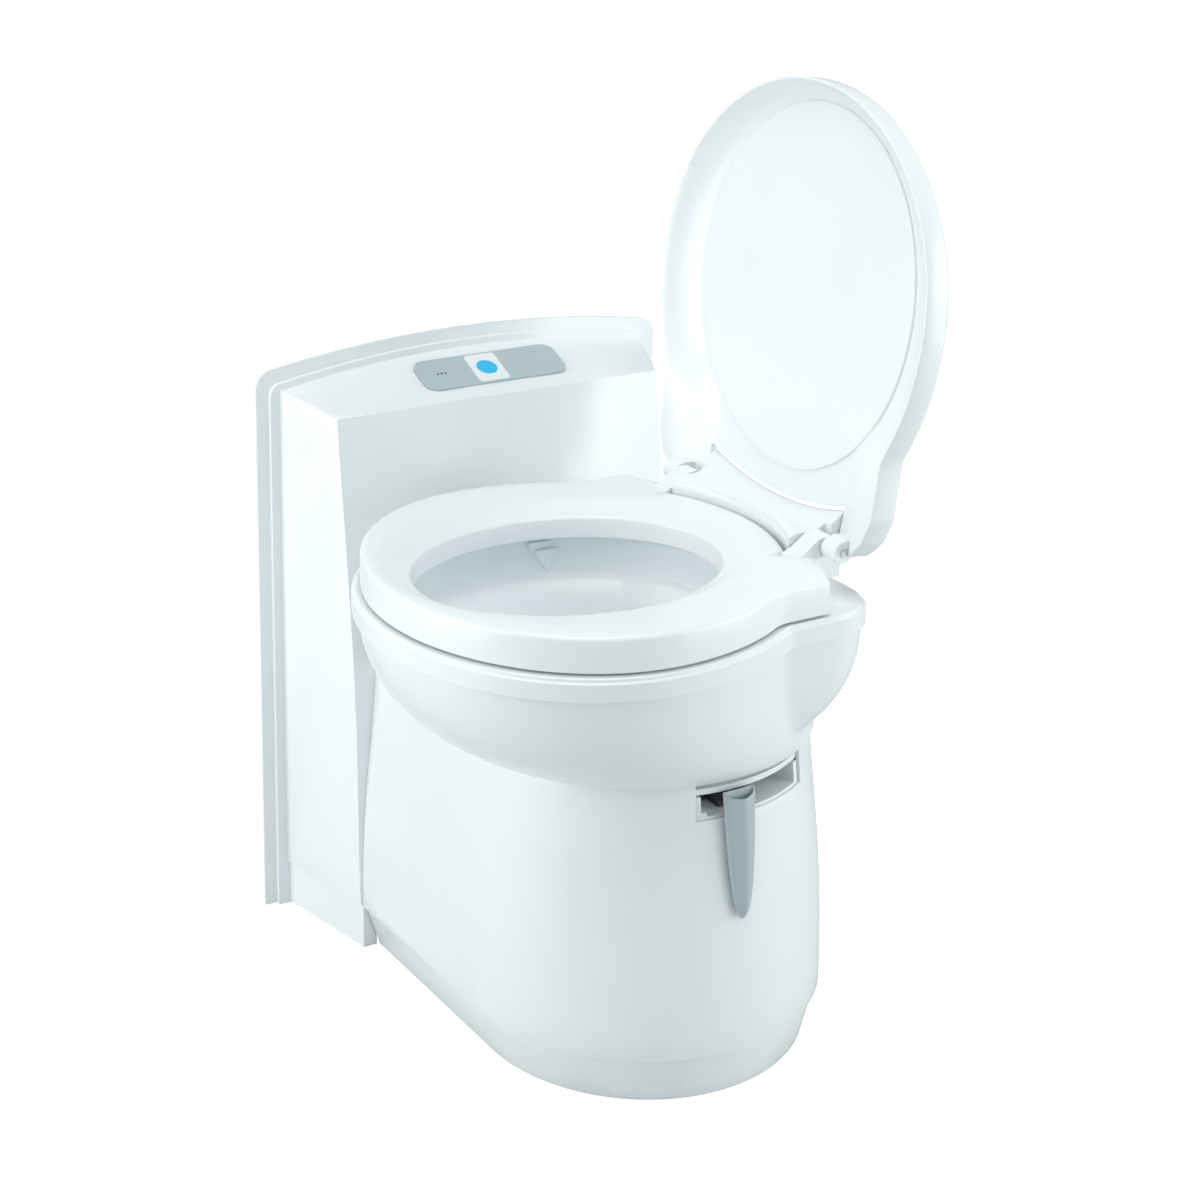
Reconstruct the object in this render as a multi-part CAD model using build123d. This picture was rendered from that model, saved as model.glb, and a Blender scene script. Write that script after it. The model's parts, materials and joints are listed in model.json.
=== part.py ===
"""Cassette toilet with a swivelling bowl, for a caravan washroom.

Frame: millimetres, +Z up, origin on the floor below the bowl's swivel axis.
The vehicle wall is the plane y = WALL_Y. The room side is -Y.
At rest the bowl is turned a quarter turn, so that its front points to -X and its hinge to +X.
"""
from build123d import *
import math
import os

# ---- driving dimensions -------------------------------------------------------------------------
WALL_Y = 402.0            # vehicle wall plane, behind the swivel axis
TOTAL_H = 687.0           # top of the wall flange at its middle
FLANGE_HALF_W = 273.0
FLANGE_SHOULDER_Z = 662.0  # height of the flange's arch at its two ends
FLANGE_CORNER_R = 22.0
OUTER_TIER_T = 4.0        # thin outer band against the wall
OUTER_TIER_W = 15.0
FLANGE_T = 11.0           # full thickness, at the inner tier
CONSOLE_INSET = 27.0      # flange edge to console side
FLANGE_OPENING_INSET = 44.0

CONSOLE_BOTTOM_Z = 54.0
CONSOLE_FRONT_HALF_W = 215.0
CONSOLE_FRONT = ((54, 252), (180, 257), (372, 268), (543, 291), (626, 302))  # (z, y) of the front face
CONSOLE_TOP_FRONT = (302.0, 626.0)   # y, z of the top's front edge
CONSOLE_TOP_BACK_Z = 664.0           # middle of the arch at the flange
CONSOLE_TOP_SIDE_Z = 641.0           # ends of the arch at the flange
CONSOLE_WALL = 3.0

PEDESTAL_BACK_Y = 267.0
# z, radius of the round front, half width at the console
PEDESTAL = (
    (52, 202.5, 213.5),
    (100, 202.5, 211),
    (190, 199, 205),
    (260, 193, 197),
    (345, 185.5, 187),
)
PEDESTAL_WALL = 4.0
TOE_FLOOR = (184.0, 188.0, 192.0)    # half width, reach, half width at the console
TOE_TOP = (200.0, 199.0, 209.0)
TOE_Z = 51.6
TOE_BACK_Y = 250.0

DECK_TOP_Z = 338.0
DECK_T = 6.0
NECK_R = 60.0             # outside of the bowl's outlet neck
NECK_HOLE_R = 60.05
OUTLET_R = 45.0
NECK_BOTTOM_Z = 318.0
RUNNING = 0.05            # radial running clearance

RIM_TOP_Z = 503.0
RIM_BAND_TOP_Z = 499.0
RIM_BAND_BOTTOM_Z = 479.0
BOWL_BOTTOM_Z = 347.0
BOWL_BOTTOM_R = 190.0
EGG_X = -95.0             # widest place of rim, seat and opening
RIM_EGG = (218.0, 246.0, 262.0)      # reach to the front, half width, reach to the rear
SEAT_EGG = (208.0, 238.0, 246.0)
OPENING_EGG = (166.0, 142.0, 178.0)
LINER_EGG = (186.0, 172.0, 208.0)    # outline of the basin inlay
LEDGE_Z = 455.0           # foot of the basin's steep wall
BLOCK_HALF_W = 203.0
BLOCK_REAR_X = 178.0
BLOCK_CORNER_R = 60.0
BLOCK_FRONT_X = 0.0
BOWL_WALL = 5.0

SEAT_BOTTOM_Z = 506.0
SEAT_TOP_Z = 545.0
ARM_HALF_W = 198.0
HINGE_X = 147.0
HINGE_Z = 552.0
BARREL_R = 11.0
PIN_R = 4.0
LID_LEAN = 8.0            # degrees past upright when open
LID_FACE = 0.0            # skirt edge plane, level with the hinge axis
LID_REACH = 479.0         # hinge axis to the lid's tip
LID_EGG = (231.0, 237.0, 262.0)      # reach to the tip, half width, reach of the rear ellipse
LID_DEPTH = 36.0          # at the hinge
LID_SLANT = 0.5           # degrees the back closes in towards the tip
LID_BACK = 5.0            # thickness behind the recess
LID_BACK_R = 8.0          # chamfer of the lid's outer edge
LID_WALL = 4.0
LEG_HALF_W = 207.0
LEG_INNER = 124.0
LEG_START_X = 30.0        # the legs leave the round part here
LEG_RIM = 8.0             # the gap's rim stays behind the skirt edge
COVER_HALF_W = 111.5      # hinge cover between the arms
COVER_X = (114.0, 184.0)
COVER_Z = (557.5, 561.0)
SEAT_KNUCKLE = (112.5, 137.5)
LID_KNUCKLE = (139.0, 163.0)

GEAR_MODULE = 2.5
SECTOR_TEETH = 90         # of a full ring
DRIVE_TEETH = 24
GEAR_Z = 301.0
GEAR_T = 8.0

TANK_HALF_W = 158.0
TANK_FRONT = 170.0
TANK_BACK_Y = 252.0
TANK_BOTTOM_Z = 20.0
TANK_TOP_Z = 200.0
HUMP_TOP_Z = 284.0
HUMP_HALF_W = 112.0
HUMP_BACK_Y = 112.0
CHAMBER_Z = 264.0         # the wide top of the hump, where the open blade lies
CHAMBER_BACK_Y = 40.0
TANK_WALL = 3.0
TANK_ROUND_Y = -40.0      # the tank's rounded front starts here
SPOUT_AT = (-118.0, 95.0)            # x, z of the spout's swivel on the tank's end
SPOUT_R = 24.0
WHEEL_R = 22.0
WHEEL_AT = (134.0, -70.0, 39.0)

FLANGE_HOLES = [(x, z) for x in (-236.0, 236.0) for z in (120.0, 560.0)]
FLOOR_HOLES = [(x, y) for x in (-90.0, 90.0) for y in (-110.0, 310.0)]
RAIL_X = 112.0
DECK_HOLE_ANGLES = (0.3, 1.2, 1.94, 2.84, 3.6)     # radians round the swivel axis
DECK_HOLES = [(150 * math.cos(a), 150 * math.sin(a)) for a in DECK_HOLE_ANGLES]
PEDESTAL_SCREW_Z = (90.0, 210.0, 300.0)
PEDESTAL_SCREW_X = 181.0  # outside the sliding tank
FRAME_Y = (270.0, 273.5)  # front and back of the console's inner frame

SLOT = (-14.0, 33.0)      # the lever's slot, in degrees from the front towards +X
SLOT_Z = (306.0, 336.0)
GUIDE_R = (126.0, 130.0)  # rib that guides the lever's carrier
LEVER_Y = 190.5           # back of the lever at its top
# z, half width, depth and lean of the lever
LEVER_LEVELS = (
    (336, 19, 12, 0),
    (300, 18, 12.5, 1.5),
    (250, 15.5, 11.5, 6.5),
    (214, 11.5, 8.5, 11.0),
    (200, 5, 4, 12.5),
)

# z and share of the way from the pedestal's circle to the egg
BULGE = ((347, 0.0), (362, 0.34), (385, 0.60), (415, 0.83), (447, 0.96), (479, 1.0))
# z, half width, rear reach and corner radius of the hinge block
BLOCK_LEVELS = (
    (347, 140, 130, 110),
    (362, 166, 148, 100),
    (385, 182, 160, 85),
    (415, 192, 169, 72),
    (447, 197, 174, 62),
    (479, 199, 175.5, 60),
)
NOZZLE_AT = (-20.0, 144.0, 483.5)

LID_CLOSED_Z = HINGE_Z + LID_FACE     # skirt edge plane when closed
LID_X = HINGE_X - LID_REACH + LID_EGG[0]   # widest place
PANEL_OVAL = (-105.0, 203.0, 186.0)    # centre, half length, half width of the raised outline

PANEL_X = 9.0             # control panel on the console's top
PANEL_Y = 348.0
PANEL_HALF_W = 95.0
PANEL_HALF_D = 28.0
PANEL_TOP = 1.6
PANEL_RISE = CONSOLE_TOP_BACK_Z - CONSOLE_TOP_FRONT[1]
PANEL_RUN = WALL_Y - FLANGE_T - CONSOLE_TOP_FRONT[0]
PANEL_SLOPE = math.degrees(math.atan2(PANEL_RISE, PANEL_RUN))
PANEL_Z = CONSOLE_TOP_FRONT[1] + (PANEL_Y - CONSOLE_TOP_FRONT[0]) * PANEL_RISE / PANEL_RUN
BUTTON_X = -5.0
BUTTON_R = 13.0
PLATE_SIZE = (41.0, 51.0)  # white plate round the button
LAMP_X = -71.0

RING_PITCH_R = SECTOR_TEETH * GEAR_MODULE / 2
DRIVE_PITCH_R = DRIVE_TEETH * GEAR_MODULE / 2
DRIVE_Y = -(RING_PITCH_R - DRIVE_PITCH_R)
BACKLASH = 0.35
BLADE_Z = (276.0, 280.5)
HANDLE_X = (10.0, 125.0)
HANDLE_Z = 209.0
CATCH_AT = (0.0, 302.0, 12.0)
HOSE_R = 5.0
HOSE_Z = 324.6            # the water pipe's run below the deck
UNION_Y = 96.0            # swivel union of the water pipe

OUT = "parts"


# ---- helpers ------------------------------------------------------------------------------------
def at(shape, x=0.0, y=0.0, z=0.0):
    return Pos(x, y, z) * shape


def box(x0, x1, y0, y1, z0, z1):
    size = Box(x1 - x0, y1 - y0, z1 - z0)
    return at(size, (x0 + x1) / 2, (y0 + y1) / 2, (z0 + z1) / 2)


def rod_z(r, z0, z1, x=0.0, y=0.0):
    return at(Cylinder(r, z1 - z0), x, y, (z0 + z1) / 2)


def rod_y(r, y0, y1, x, z):
    return at(Rot(90, 0, 0) * Cylinder(r, y1 - y0), x, (y0 + y1) / 2, z)


def rod_x(r, x0, x1, y, z):
    return at(Rot(0, 90, 0) * Cylinder(r, x1 - x0), (x0 + x1) / 2, y, z)


def ring_z(r_out, r_in, z0, z1, x=0.0, y=0.0):
    return rod_z(r_out, z0, z1, x, y) - rod_z(r_in, z0 - 1, z1 + 1, x, y)


def mirrored(shape):
    """shape and its mirror image across the plane y = 0."""
    return [shape, mirror(shape, Plane.XZ)]


def group(shapes):
    return Compound(children=list(shapes))


def sector_z(r_out, r_in, z0, z1, a0, a1):
    """Part of a ring from angle a0 to a1, in degrees from the -Y direction towards +X."""
    body = ring_z(r_out, r_in, z0, z1)
    reach = r_out * 2.0
    pts = [(0, 0)]
    steps = 6
    for i in range(steps + 1):
        a = math.radians(a0 + (a1 - a0) * i / steps)
        pts.append((reach * math.sin(a), -reach * math.cos(a)))
    wedge = extrude(at(make_face(Polyline(*pts, close=True)), 0, 0, z0 - 1), z1 - z0 + 2)
    return body & wedge


def u_plan(half_w, reach, half_w_back, y_back, z, y_axis=0.0):
    """Face with an elliptical front round the swivel axis and straight flanks to y_back."""
    front = EllipticalCenterArc((0, y_axis), half_w, reach, 180, arc_size=180)
    right = Line((half_w, y_axis), (half_w_back, y_back))
    back = Line((half_w_back, y_back), (-half_w_back, y_back))
    left = Line((-half_w_back, y_back), (-half_w, y_axis))
    return at(make_face(Wire([front, right, back, left])), 0, 0, z)


def egg(reach_front, half_w, reach_rear, z, x=EGG_X):
    """Egg face: two half ellipses that meet at the widest place. Its front points to -X."""
    front = EllipticalCenterArc((x, 0), reach_front, half_w, 90, arc_size=180)
    rear = EllipticalCenterArc((x, 0), reach_rear, half_w, -90, arc_size=180)
    return at(make_face(Wire([front, rear])), 0, 0, z)


def egg_prism(dims, z0, z1, grow=0.0):
    a, b, c = dims
    return extrude(egg(a + grow, b + grow, c + grow, z0), z1 - z0)


# ---- wall flange and console --------------------------------------------------------------------
def flange_outline(inset, bottom):
    """Arch-topped outline in the XZ plane, inset from the flange's edge."""
    w = FLANGE_HALF_W - inset
    shoulder = FLANGE_SHOULDER_Z - inset
    side = Line((-w, bottom), (-w, shoulder))
    arch = ThreePointArc((-w, shoulder), (0, TOTAL_H - inset), (w, shoulder))
    other = Line((w, shoulder), (w, bottom))
    foot = Line((w, bottom), (-w, bottom))
    face = make_face(Wire([side, arch, other, foot]))
    corners = face.vertices().filter_by(lambda v: v.Y > shoulder - 1)
    return fillet(corners, max(FLANGE_CORNER_R - inset / 2, 4))


def flange_plate(inset, bottom, thickness):
    """Plate of that outline standing against the wall plane."""
    face = Plane.XZ.offset(-WALL_Y) * flange_outline(inset, bottom)
    return extrude(face, thickness)


def wall_flange():
    body = flange_plate(0, 0, OUTER_TIER_T) + flange_plate(OUTER_TIER_W, 0, FLANGE_T)
    opening = flange_plate(FLANGE_OPENING_INSET, 14, FLANGE_T + 2)
    body -= at(opening, 0, 1, 0)
    for x, z in FLANGE_HOLES:
        body -= rod_y(2.75, WALL_Y - FLANGE_T - 1, WALL_Y + 1, x, z)
    return body


def console_solid(inset, bottom=CONSOLE_BOTTOM_Z):
    """Tapered console; inset makes the smaller solid that hollows it."""
    back_w = FLANGE_HALF_W - CONSOLE_INSET - inset
    front_w = CONSOLE_FRONT_HALF_W - inset
    back_y = WALL_Y - FLANGE_T + (inset > 0) * 1.0
    sections = []
    levels = [(bottom, CONSOLE_FRONT[0][1])] + list(CONSOLE_FRONT[1:]) + [(700, 312)]
    for z, y in levels:
        front_y = y + inset
        pts = [(-back_w, back_y), (-front_w, front_y), (front_w, front_y), (back_w, back_y)]
        sections.append(at(make_face(Polyline(*pts, close=True)), 0, 0, z))
    body = loft(sections)
    y_f, z_f = CONSOLE_TOP_FRONT
    y_b = WALL_Y - FLANGE_T
    slope = (CONSOLE_TOP_BACK_Z - z_f) / (y_b - y_f)
    over = 12.0           # the cutting solid reaches past the console at both ends
    fall = CONSOLE_TOP_BACK_Z - CONSOLE_TOP_SIDE_Z
    tops = []
    for y in (y_f - 70, y_f, y_b + over):
        middle = z_f + slope * (y - y_f) - inset
        drop = max(fall * (y - y_f) / (y_b - y_f), 0.4)
        wide = FLANGE_HALF_W - CONSOLE_INSET
        left = Line((-wide, 0), (-wide, middle - drop))
        arch = ThreePointArc((-wide, middle - drop), (0, middle), (wide, middle - drop))
        right = Line((wide, middle - drop), (wide, 0))
        foot = Line((wide, 0), (-wide, 0))
        tops.append(Plane.XZ.offset(-y) * make_face(Wire([left, arch, right, foot])))
    cutter = loft(tops, ruled=True)
    return body & cutter


def on_panel(shape, lift=0.0):
    """Moves a shape made on the XY plane onto the console's sloping top."""
    return Pos(PANEL_X, PANEL_Y, PANEL_Z) * Rot(PANEL_SLOPE, 0, 0) * at(shape, 0, 0, lift)


def rounded_plate(w, d, r, z0, z1):
    return extrude(at(RectangleRounded(w, d, r), 0, 0, z0), z1 - z0)


def console_housing():
    shell = console_solid(0) - console_solid(CONSOLE_WALL, bottom=CONSOLE_BOTTOM_Z - 1)
    shell -= on_panel(rounded_plate(2 * PANEL_HALF_W - 8, 2 * PANEL_HALF_D - 8, 10, -14, 14))
    tunnel = pedestal_solid(-0.1)
    shell -= tunnel
    return shell


def console_plinth():
    """Kick plinth below the console, slightly inside it."""
    def plan(inset, z0, z1):
        back_w = FLANGE_HALF_W - CONSOLE_INSET - inset
        front_w = CONSOLE_FRONT_HALF_W - inset
        front_y = CONSOLE_FRONT[0][1] + inset - 3
        back_y = WALL_Y - FLANGE_T
        pts = [(-back_w, back_y), (-front_w, front_y), (front_w, front_y), (back_w, back_y)]
        return extrude(at(make_face(Polyline(*pts, close=True)), 0, 0, z0), z1 - z0)
    body = plan(3, 0, CONSOLE_BOTTOM_Z) - plan(6, -1, CONSOLE_BOTTOM_Z + 1)
    inner = box(-300, 300, 200, CONSOLE_FRONT[0][1] + 3.2, -1, 60) & box(-195, 195, 200, 300, -1, 60)
    body -= inner
    body -= box(-239.9, 239.9, WALL_Y - FLANGE_T - 3.5, WALL_Y, -1, 60)
    return body - pedestal_solid(-0.1) - toe_solid(-0.3, -1, 60)


# ---- pedestal -----------------------------------------------------------------------------------
def pedestal_solid(inset, top=None, bottom=None):
    sections = []
    for z, radius, back_w in PEDESTAL:
        sections.append(u_plan(radius - inset, radius - inset, back_w - inset, PEDESTAL_BACK_Y, z))
    body = loft(sections)
    if top is not None:
        body &= box(-300, 300, -300, 400, 0, top)
    return body


def toe_solid(inset, z0, z1):
    a, b, s = (v - inset for v in TOE_FLOOR)
    c, d, t = (v - inset for v in TOE_TOP)
    low = u_plan(a, b, s, TOE_BACK_Y, 0.0)
    high = u_plan(c, d, t, TOE_BACK_Y, TOE_Z)
    return loft([low, high], ruled=True) & box(-300, 300, -300, 300, z0, z1)


def pedestal_screw_places():
    return [(s * PEDESTAL_SCREW_X, z) for s in (-1, 1) for z in PEDESTAL_SCREW_Z]


def pedestal_shell():
    """Thin moulding, open at the back, with two screw flanges that meet the console's frame."""
    body = pedestal_solid(0) - pedestal_solid(PEDESTAL_WALL)
    front = FRAME_Y[0]
    flange = box(PEDESTAL_SCREW_X - 7, 230, front - 10, front - 5, 80, 310)
    flange = flange & pedestal_solid(PEDESTAL_WALL - 1)
    for side in mirror_x(flange):
        body += side
    for x, z in pedestal_screw_places():
        body += rod_y(7, front - 9, front - 0.1, x, z)
        body -= rod_y(2.2, front - 8, front + 1, x, z)
    slot = sector_z(230, 130, SLOT_Z[0], 346, *SLOT)
    return body - slot


def toe_plinth():
    body = toe_solid(0, 0, TOE_Z) - toe_solid(PEDESTAL_WALL, -1, TOE_Z + 1)
    return body


def base_pan():
    """Floor tray that carries the tank and takes the floor screws."""
    plate = extrude(u_plan(174, 178, 182, TOE_BACK_Y, 0), 5.0)
    plate += box(-180, 180, TOE_BACK_Y - 8, WALL_Y - FLANGE_T - 0.2, 0, 5)
    for x, y in FLOOR_HOLES:
        plate -= rod_z(3.25, -1, 6, x, y)
    return plate


def tank_rails():
    rail = box(-7, 7, -70, 370, 5, 19.8)
    groove = box(-3, 3, -71, 371, 12, 20)
    return group([at(rail - groove, -RAIL_X), at(rail - groove, RAIL_X)])


def swivel_deck():
    """Plate inside the pedestal's top that carries the bowl."""
    z0 = DECK_TOP_Z - DECK_T
    plate = extrude(u_plan(182, 182, 183, 262, z0), DECK_T) & pedestal_solid(PEDESTAL_WALL + 0.2)
    plate -= rod_z(NECK_HOLE_R, 300, 400)
    plate -= sector_z(230, 142, z0 - 1, DECK_TOP_Z + 1, SLOT[0], SLOT[1])
    plate -= rod_z(8, 300, 400, 0, 96)
    for x, y in DECK_HOLES:
        plate -= rod_z(2.1, 300, 400, x, y)
    return plate


def bearing_ring():
    return ring_z(134, 118, DECK_TOP_Z, 346.9)


def deck_screws():
    screws = []
    for x, y in DECK_HOLES:
        screw = rod_z(2.1, 322, DECK_TOP_Z, x, y) + rod_z(4, DECK_TOP_Z, DECK_TOP_Z + 2.6, x, y)
        screws.append(screw - box(x - 3, x + 3, y - 0.5, y + 0.5, DECK_TOP_Z + 1.4, DECK_TOP_Z + 4))
    return group(screws)


def lever_guide():
    """Arc-shaped channel under the deck that holds the valve lever's carrier."""
    top = DECK_TOP_Z - DECK_T
    body = sector_z(140, 116, 317.5, top, -40, 56)
    groove = sector_z(GUIDE_R[1] + RUNNING, GUIDE_R[0] - RUNNING, 310, 325, -41, 57)
    return body - groove


def slot_trim():
    """Stepped white liner of the lever's slot, seen on both sides of the lever."""
    a0, a1 = SLOT
    outer = pedestal_solid(3.0, top=SLOT_Z[1])
    floor_ring = sector_z(220, 150, 306.2, 309.2, a0 + 0.4, a1 - 0.4)
    left = sector_z(220, 150, 309.2, 330, a0 + 0.4, a0 + 2.0)
    right = sector_z(220, 150, 309.2, 330, a1 - 3.0, a1 - 0.4)
    step = sector_z(220, 156, 309.2, 313.2, a0 + 2.0, a0 + 4.0)
    return (floor_ring + left + right + step) & outer


# ---- valve lever --------------------------------------------------------------------------------
def involute_teeth(teeth, module, tip_r, root_r, backlash, angle0=0.0):
    """Outline of an external gear. Each flank is an involute of a 20 degree base circle."""
    pitch_r = teeth * module / 2
    base_r = pitch_r * math.cos(math.radians(20))
    def inv(r):
        a = math.acos(min(1.0, base_r / r))
        return math.tan(a) - a
    half = math.pi / (2 * teeth) - backlash / (2 * pitch_r)
    pts = []
    for i in range(teeth):
        mid = angle0 + 2 * math.pi * i / teeth
        start_r = max(base_r, root_r)
        radii = [start_r + (tip_r - start_r) * k / 4 for k in range(5)]
        rise = [(r, mid - half - inv(pitch_r) + inv(r)) for r in radii]
        fall = [(r, mid + half + inv(pitch_r) - inv(r)) for r in reversed(radii)]
        flanks = rise + fall
        if root_r < start_r:
            flanks = [(root_r, rise[0][1])] + flanks + [(root_r, fall[-1][1])]
        for r, a in flanks:
            pts.append((r * math.cos(a), r * math.sin(a)))
    return make_face(Polyline(*pts, close=True))


def toothed_sector():
    """Internal teeth on the swinging carrier. A tooth space points straight to -Y at rest."""
    gap_tip = RING_PITCH_R + 1.15 * GEAR_MODULE
    gap_root = RING_PITCH_R - 0.85 * GEAR_MODULE
    z0, z1 = GEAR_Z + 0.5, GEAR_Z + GEAR_T - 0.5
    body = sector_z(RING_PITCH_R + 8, gap_root, z0, z1 + 2, -40, 16)
    root = gap_root - 4
    spaces = involute_teeth(SECTOR_TEETH, GEAR_MODULE, gap_tip, root, -BACKLASH, -math.pi / 2)
    return body - extrude(at(spaces, 0, 0, z0 - 1), z1 - z0 + 4)


def lever_carrier():
    """Arc plate that swings round the swivel axis with its handle and toothed sector."""
    teeth = toothed_sector()
    plate = sector_z(136, RING_PITCH_R + 3.2, GEAR_Z + GEAR_T - 0.5, 316.5, -40, 16)
    rib = sector_z(GUIDE_R[1], GUIDE_R[0], 316.5, 324.5, -16, 30)
    tongue = sector_z(172, 132, 310.5, 316.5, -4.0, 4.0)
    return teeth + plate + rib + tongue


def valve_lever():
    """Handle that hangs in front of the pedestal. Hollow and open at the top."""
    def plan(z, half_w, depth, lean):
        inner_y = -(LEVER_Y + lean)
        left = (-half_w, inner_y)
        right = (half_w, inner_y)
        nose = ThreePointArc(right, (0, inner_y - depth), left)
        return at(make_face(Wire([Line(left, right), nose])), 0, 0, z)
    body = loft([plan(*v) for v in LEVER_LEVELS])
    hollow = loft([plan(333, 16, 9, 2.2), plan(290, 14, 8.5, 4.2)])
    bridge = box(-12, 12, -(LEVER_Y + 2), -172.3, 309.6, 322)
    return (body - hollow) + bridge


# ---- bowl ---------------------------------------------------------------------------------------


def bowl_body_solid(inset, z_low=BOWL_BOTTOM_Z):
    """Bulbous body that swells from a circle on the pedestal to the egg under the rim."""
    a1, b1, c1 = (v - 7 for v in RIM_EGG)
    sections = []
    for z, k in BULGE:
        x = EGG_X * k
        a = BOWL_BOTTOM_R + (a1 - BOWL_BOTTOM_R) * k - inset
        b = BOWL_BOTTOM_R + (b1 - BOWL_BOTTOM_R) * k - inset
        c = BOWL_BOTTOM_R + (c1 - BOWL_BOTTOM_R) * k - inset
        sections.append(egg(a, b, c, z, x))
    return loft(sections)


def block_plan(z, half_w, rear_x, corner, front_x=BLOCK_FRONT_X):
    pts = [(front_x, -half_w), (rear_x, -half_w), (rear_x, half_w), (front_x, half_w)]
    face = make_face(Polyline(*pts, close=True))
    rounded = fillet(face.vertices().filter_by(lambda v: v.X > rear_x - 1), corner)
    return at(rounded, 0, 0, z)


def block_solid(inset):
    sections = []
    for z, half_w, rear_x, corner in BLOCK_LEVELS:
        sections.append(block_plan(z, half_w - inset, rear_x - inset, corner - inset))
    return loft(sections)


def cavity(z_top):
    """Inside of the basin: near-vertical wall, a ledge, then a funnel to the outlet."""
    upper = loft([egg(169, 153, 189, LEDGE_Z), egg(176, 160, 196, z_top)], ruled=True)
    funnel = loft([
        Pos(0, 0, 352) * Circle(OUTLET_R + 9),
        egg(92, 92, 120, 397, -30),
        egg(154, 139, 173, LEDGE_Z + 0.5, EGG_X),
    ])
    return upper + funnel


def bowl_shell():
    body = bowl_body_solid(0) + block_solid(0)
    body += egg_prism(RIM_EGG, RIM_BAND_BOTTOM_Z, RIM_BAND_TOP_Z)
    band_block = block_plan(RIM_BAND_BOTTOM_Z, BLOCK_HALF_W, BLOCK_REAR_X, BLOCK_CORNER_R)
    body += extrude(band_block, RIM_BAND_TOP_Z - RIM_BAND_BOTTOM_Z)
    body += egg_prism(RIM_EGG, RIM_BAND_TOP_Z, RIM_TOP_Z, -3)
    lip_block = block_plan(RIM_BAND_TOP_Z, BLOCK_HALF_W - 3, BLOCK_REAR_X - 3, BLOCK_CORNER_R - 3)
    body += extrude(lip_block, RIM_TOP_Z - RIM_BAND_TOP_Z)
    inner = bowl_body_solid(BOWL_WALL) + block_solid(BOWL_WALL)
    inner &= box(-400, 400, -400, 400, BOWL_BOTTOM_Z + 4, RIM_BAND_BOTTOM_Z - 4)
    body -= inner
    body -= egg_prism(LINER_EGG, 470, 520, 0.3)
    body -= rod_z(NECK_R, 340, 360)
    x, y, z = NOZZLE_AT
    body -= box(x - 21, x + 21, 120, y + 30.5, z - 12.5, z + 12.5)
    return body


def bowl_liner():
    """Inlay that forms the visible basin, set into the shell."""
    outer_up = loft([egg(175, 159, 195, LEDGE_Z - 3), egg(*LINER_EGG, 496)], ruled=True)
    outer_low = loft([
        Pos(0, 0, 353.9) * Circle(OUTLET_R + 13),
        egg(97, 97, 125, 395, -30),
        egg(162, 147, 181, LEDGE_Z - 2.5, EGG_X),
    ])
    lip = egg_prism(LINER_EGG, 496, RIM_TOP_Z)
    body = outer_up + outer_low + lip - cavity(RIM_TOP_Z + 1)
    body -= rod_z(OUTLET_R + 9, 340, 362)
    x, y, z = NOZZLE_AT
    body -= box(x - 30, x + 20.5, 120, 200, z - 24.5, z + 12.5)
    return body


def outlet_neck():
    """Spigot that turns in the deck and leads into the tank's mouth."""
    flange = ring_z(78, OUTLET_R, 351.05, 353.8)
    tube = ring_z(NECK_R, OUTLET_R, NECK_BOTTOM_Z, 351.05)
    lead = ring_z(OUTLET_R + 8.8, OUTLET_R, 353.8, 360)
    return flange + tube + lead


def swivel_retainer():
    return ring_z(74, NECK_R, 326.0, 331.8)


def hinge_cover():
    """Bow-tie shaped cover over the hinge pins, between the seat's arms."""
    return extrude(deck_plan(0.0), COVER_Z[1] - COVER_Z[0])


def deck_plan(inset):
    x0, x1, w = COVER_X[0] + inset, COVER_X[1] - inset, COVER_HALF_W - inset
    front = ThreePointArc((x0, w), (x0 + 28, 0), (x0, -w))
    right = Line((x0, -w), (x1, -w))
    back = Line((x1, -w), (x1, w))
    left = Line((x1, w), (x0, w))
    return at(make_face(Wire([front, right, back, left])), 0, 0, COVER_Z[0])


def hinge_bridge():
    """Hollow block on the rim that carries the pins."""
    z0, z1 = RIM_TOP_Z, COVER_Z[0]
    base = extrude(at(deck_plan(0.6), 0, 0, z0 - z1), z1 - z0)
    hollow = extrude(at(deck_plan(5.0), 0, 0, z0 - z1 - 1), z1 - z0 - 3)
    body = base - hollow
    boss = box(HINGE_X - 9, HINGE_X + 9, COVER_HALF_W - 14, COVER_HALF_W + 5, HINGE_Z - 12, z1)
    for b in mirrored(boss):
        body += b & base
    for hole in mirrored(rod_y(PIN_R, COVER_HALF_W - 10, COVER_HALF_W + 5, HINGE_X, HINGE_Z)):
        body -= hole
    return body


def hinge_pins():
    return group(mirrored(rod_y(PIN_R, COVER_HALF_W - 10, LID_KNUCKLE[1] + 2, HINGE_X, HINGE_Z)))


def flush_nozzle():
    """Nozzle in the basin wall with a sloping deflector."""
    x, y, z = NOZZLE_AT
    body = box(x - 20, x + 20, y, y + 30, z - 12, z + 12)
    body -= box(x - 15, x + 21, y - 1, y + 25, z - 6, z + 8)
    slope = Pos(x - 18, y + 10, z - 10) * Rot(0, 32, 0) * Box(4, 22, 34)
    return body + (slope & box(x - 44, x + 26, y, y + 30, z - 24, z + 14))


def bowl_hose():
    """Water hose from the swivel union to the nozzle."""
    x, y, z = NOZZLE_AT
    points = ((0, 96, 352), (-2, 112, 395), (x + 11, y + 18, 440), (x + 12, y + 22, z - 12.4))
    path = Spline(*points, tangents=((0, 0, 1), (0, 0, 1)))
    start = Plane(origin=path @ 0, z_dir=path % 0)
    tube = sweep(start * Circle(4.5), path=path)
    return tube


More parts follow.
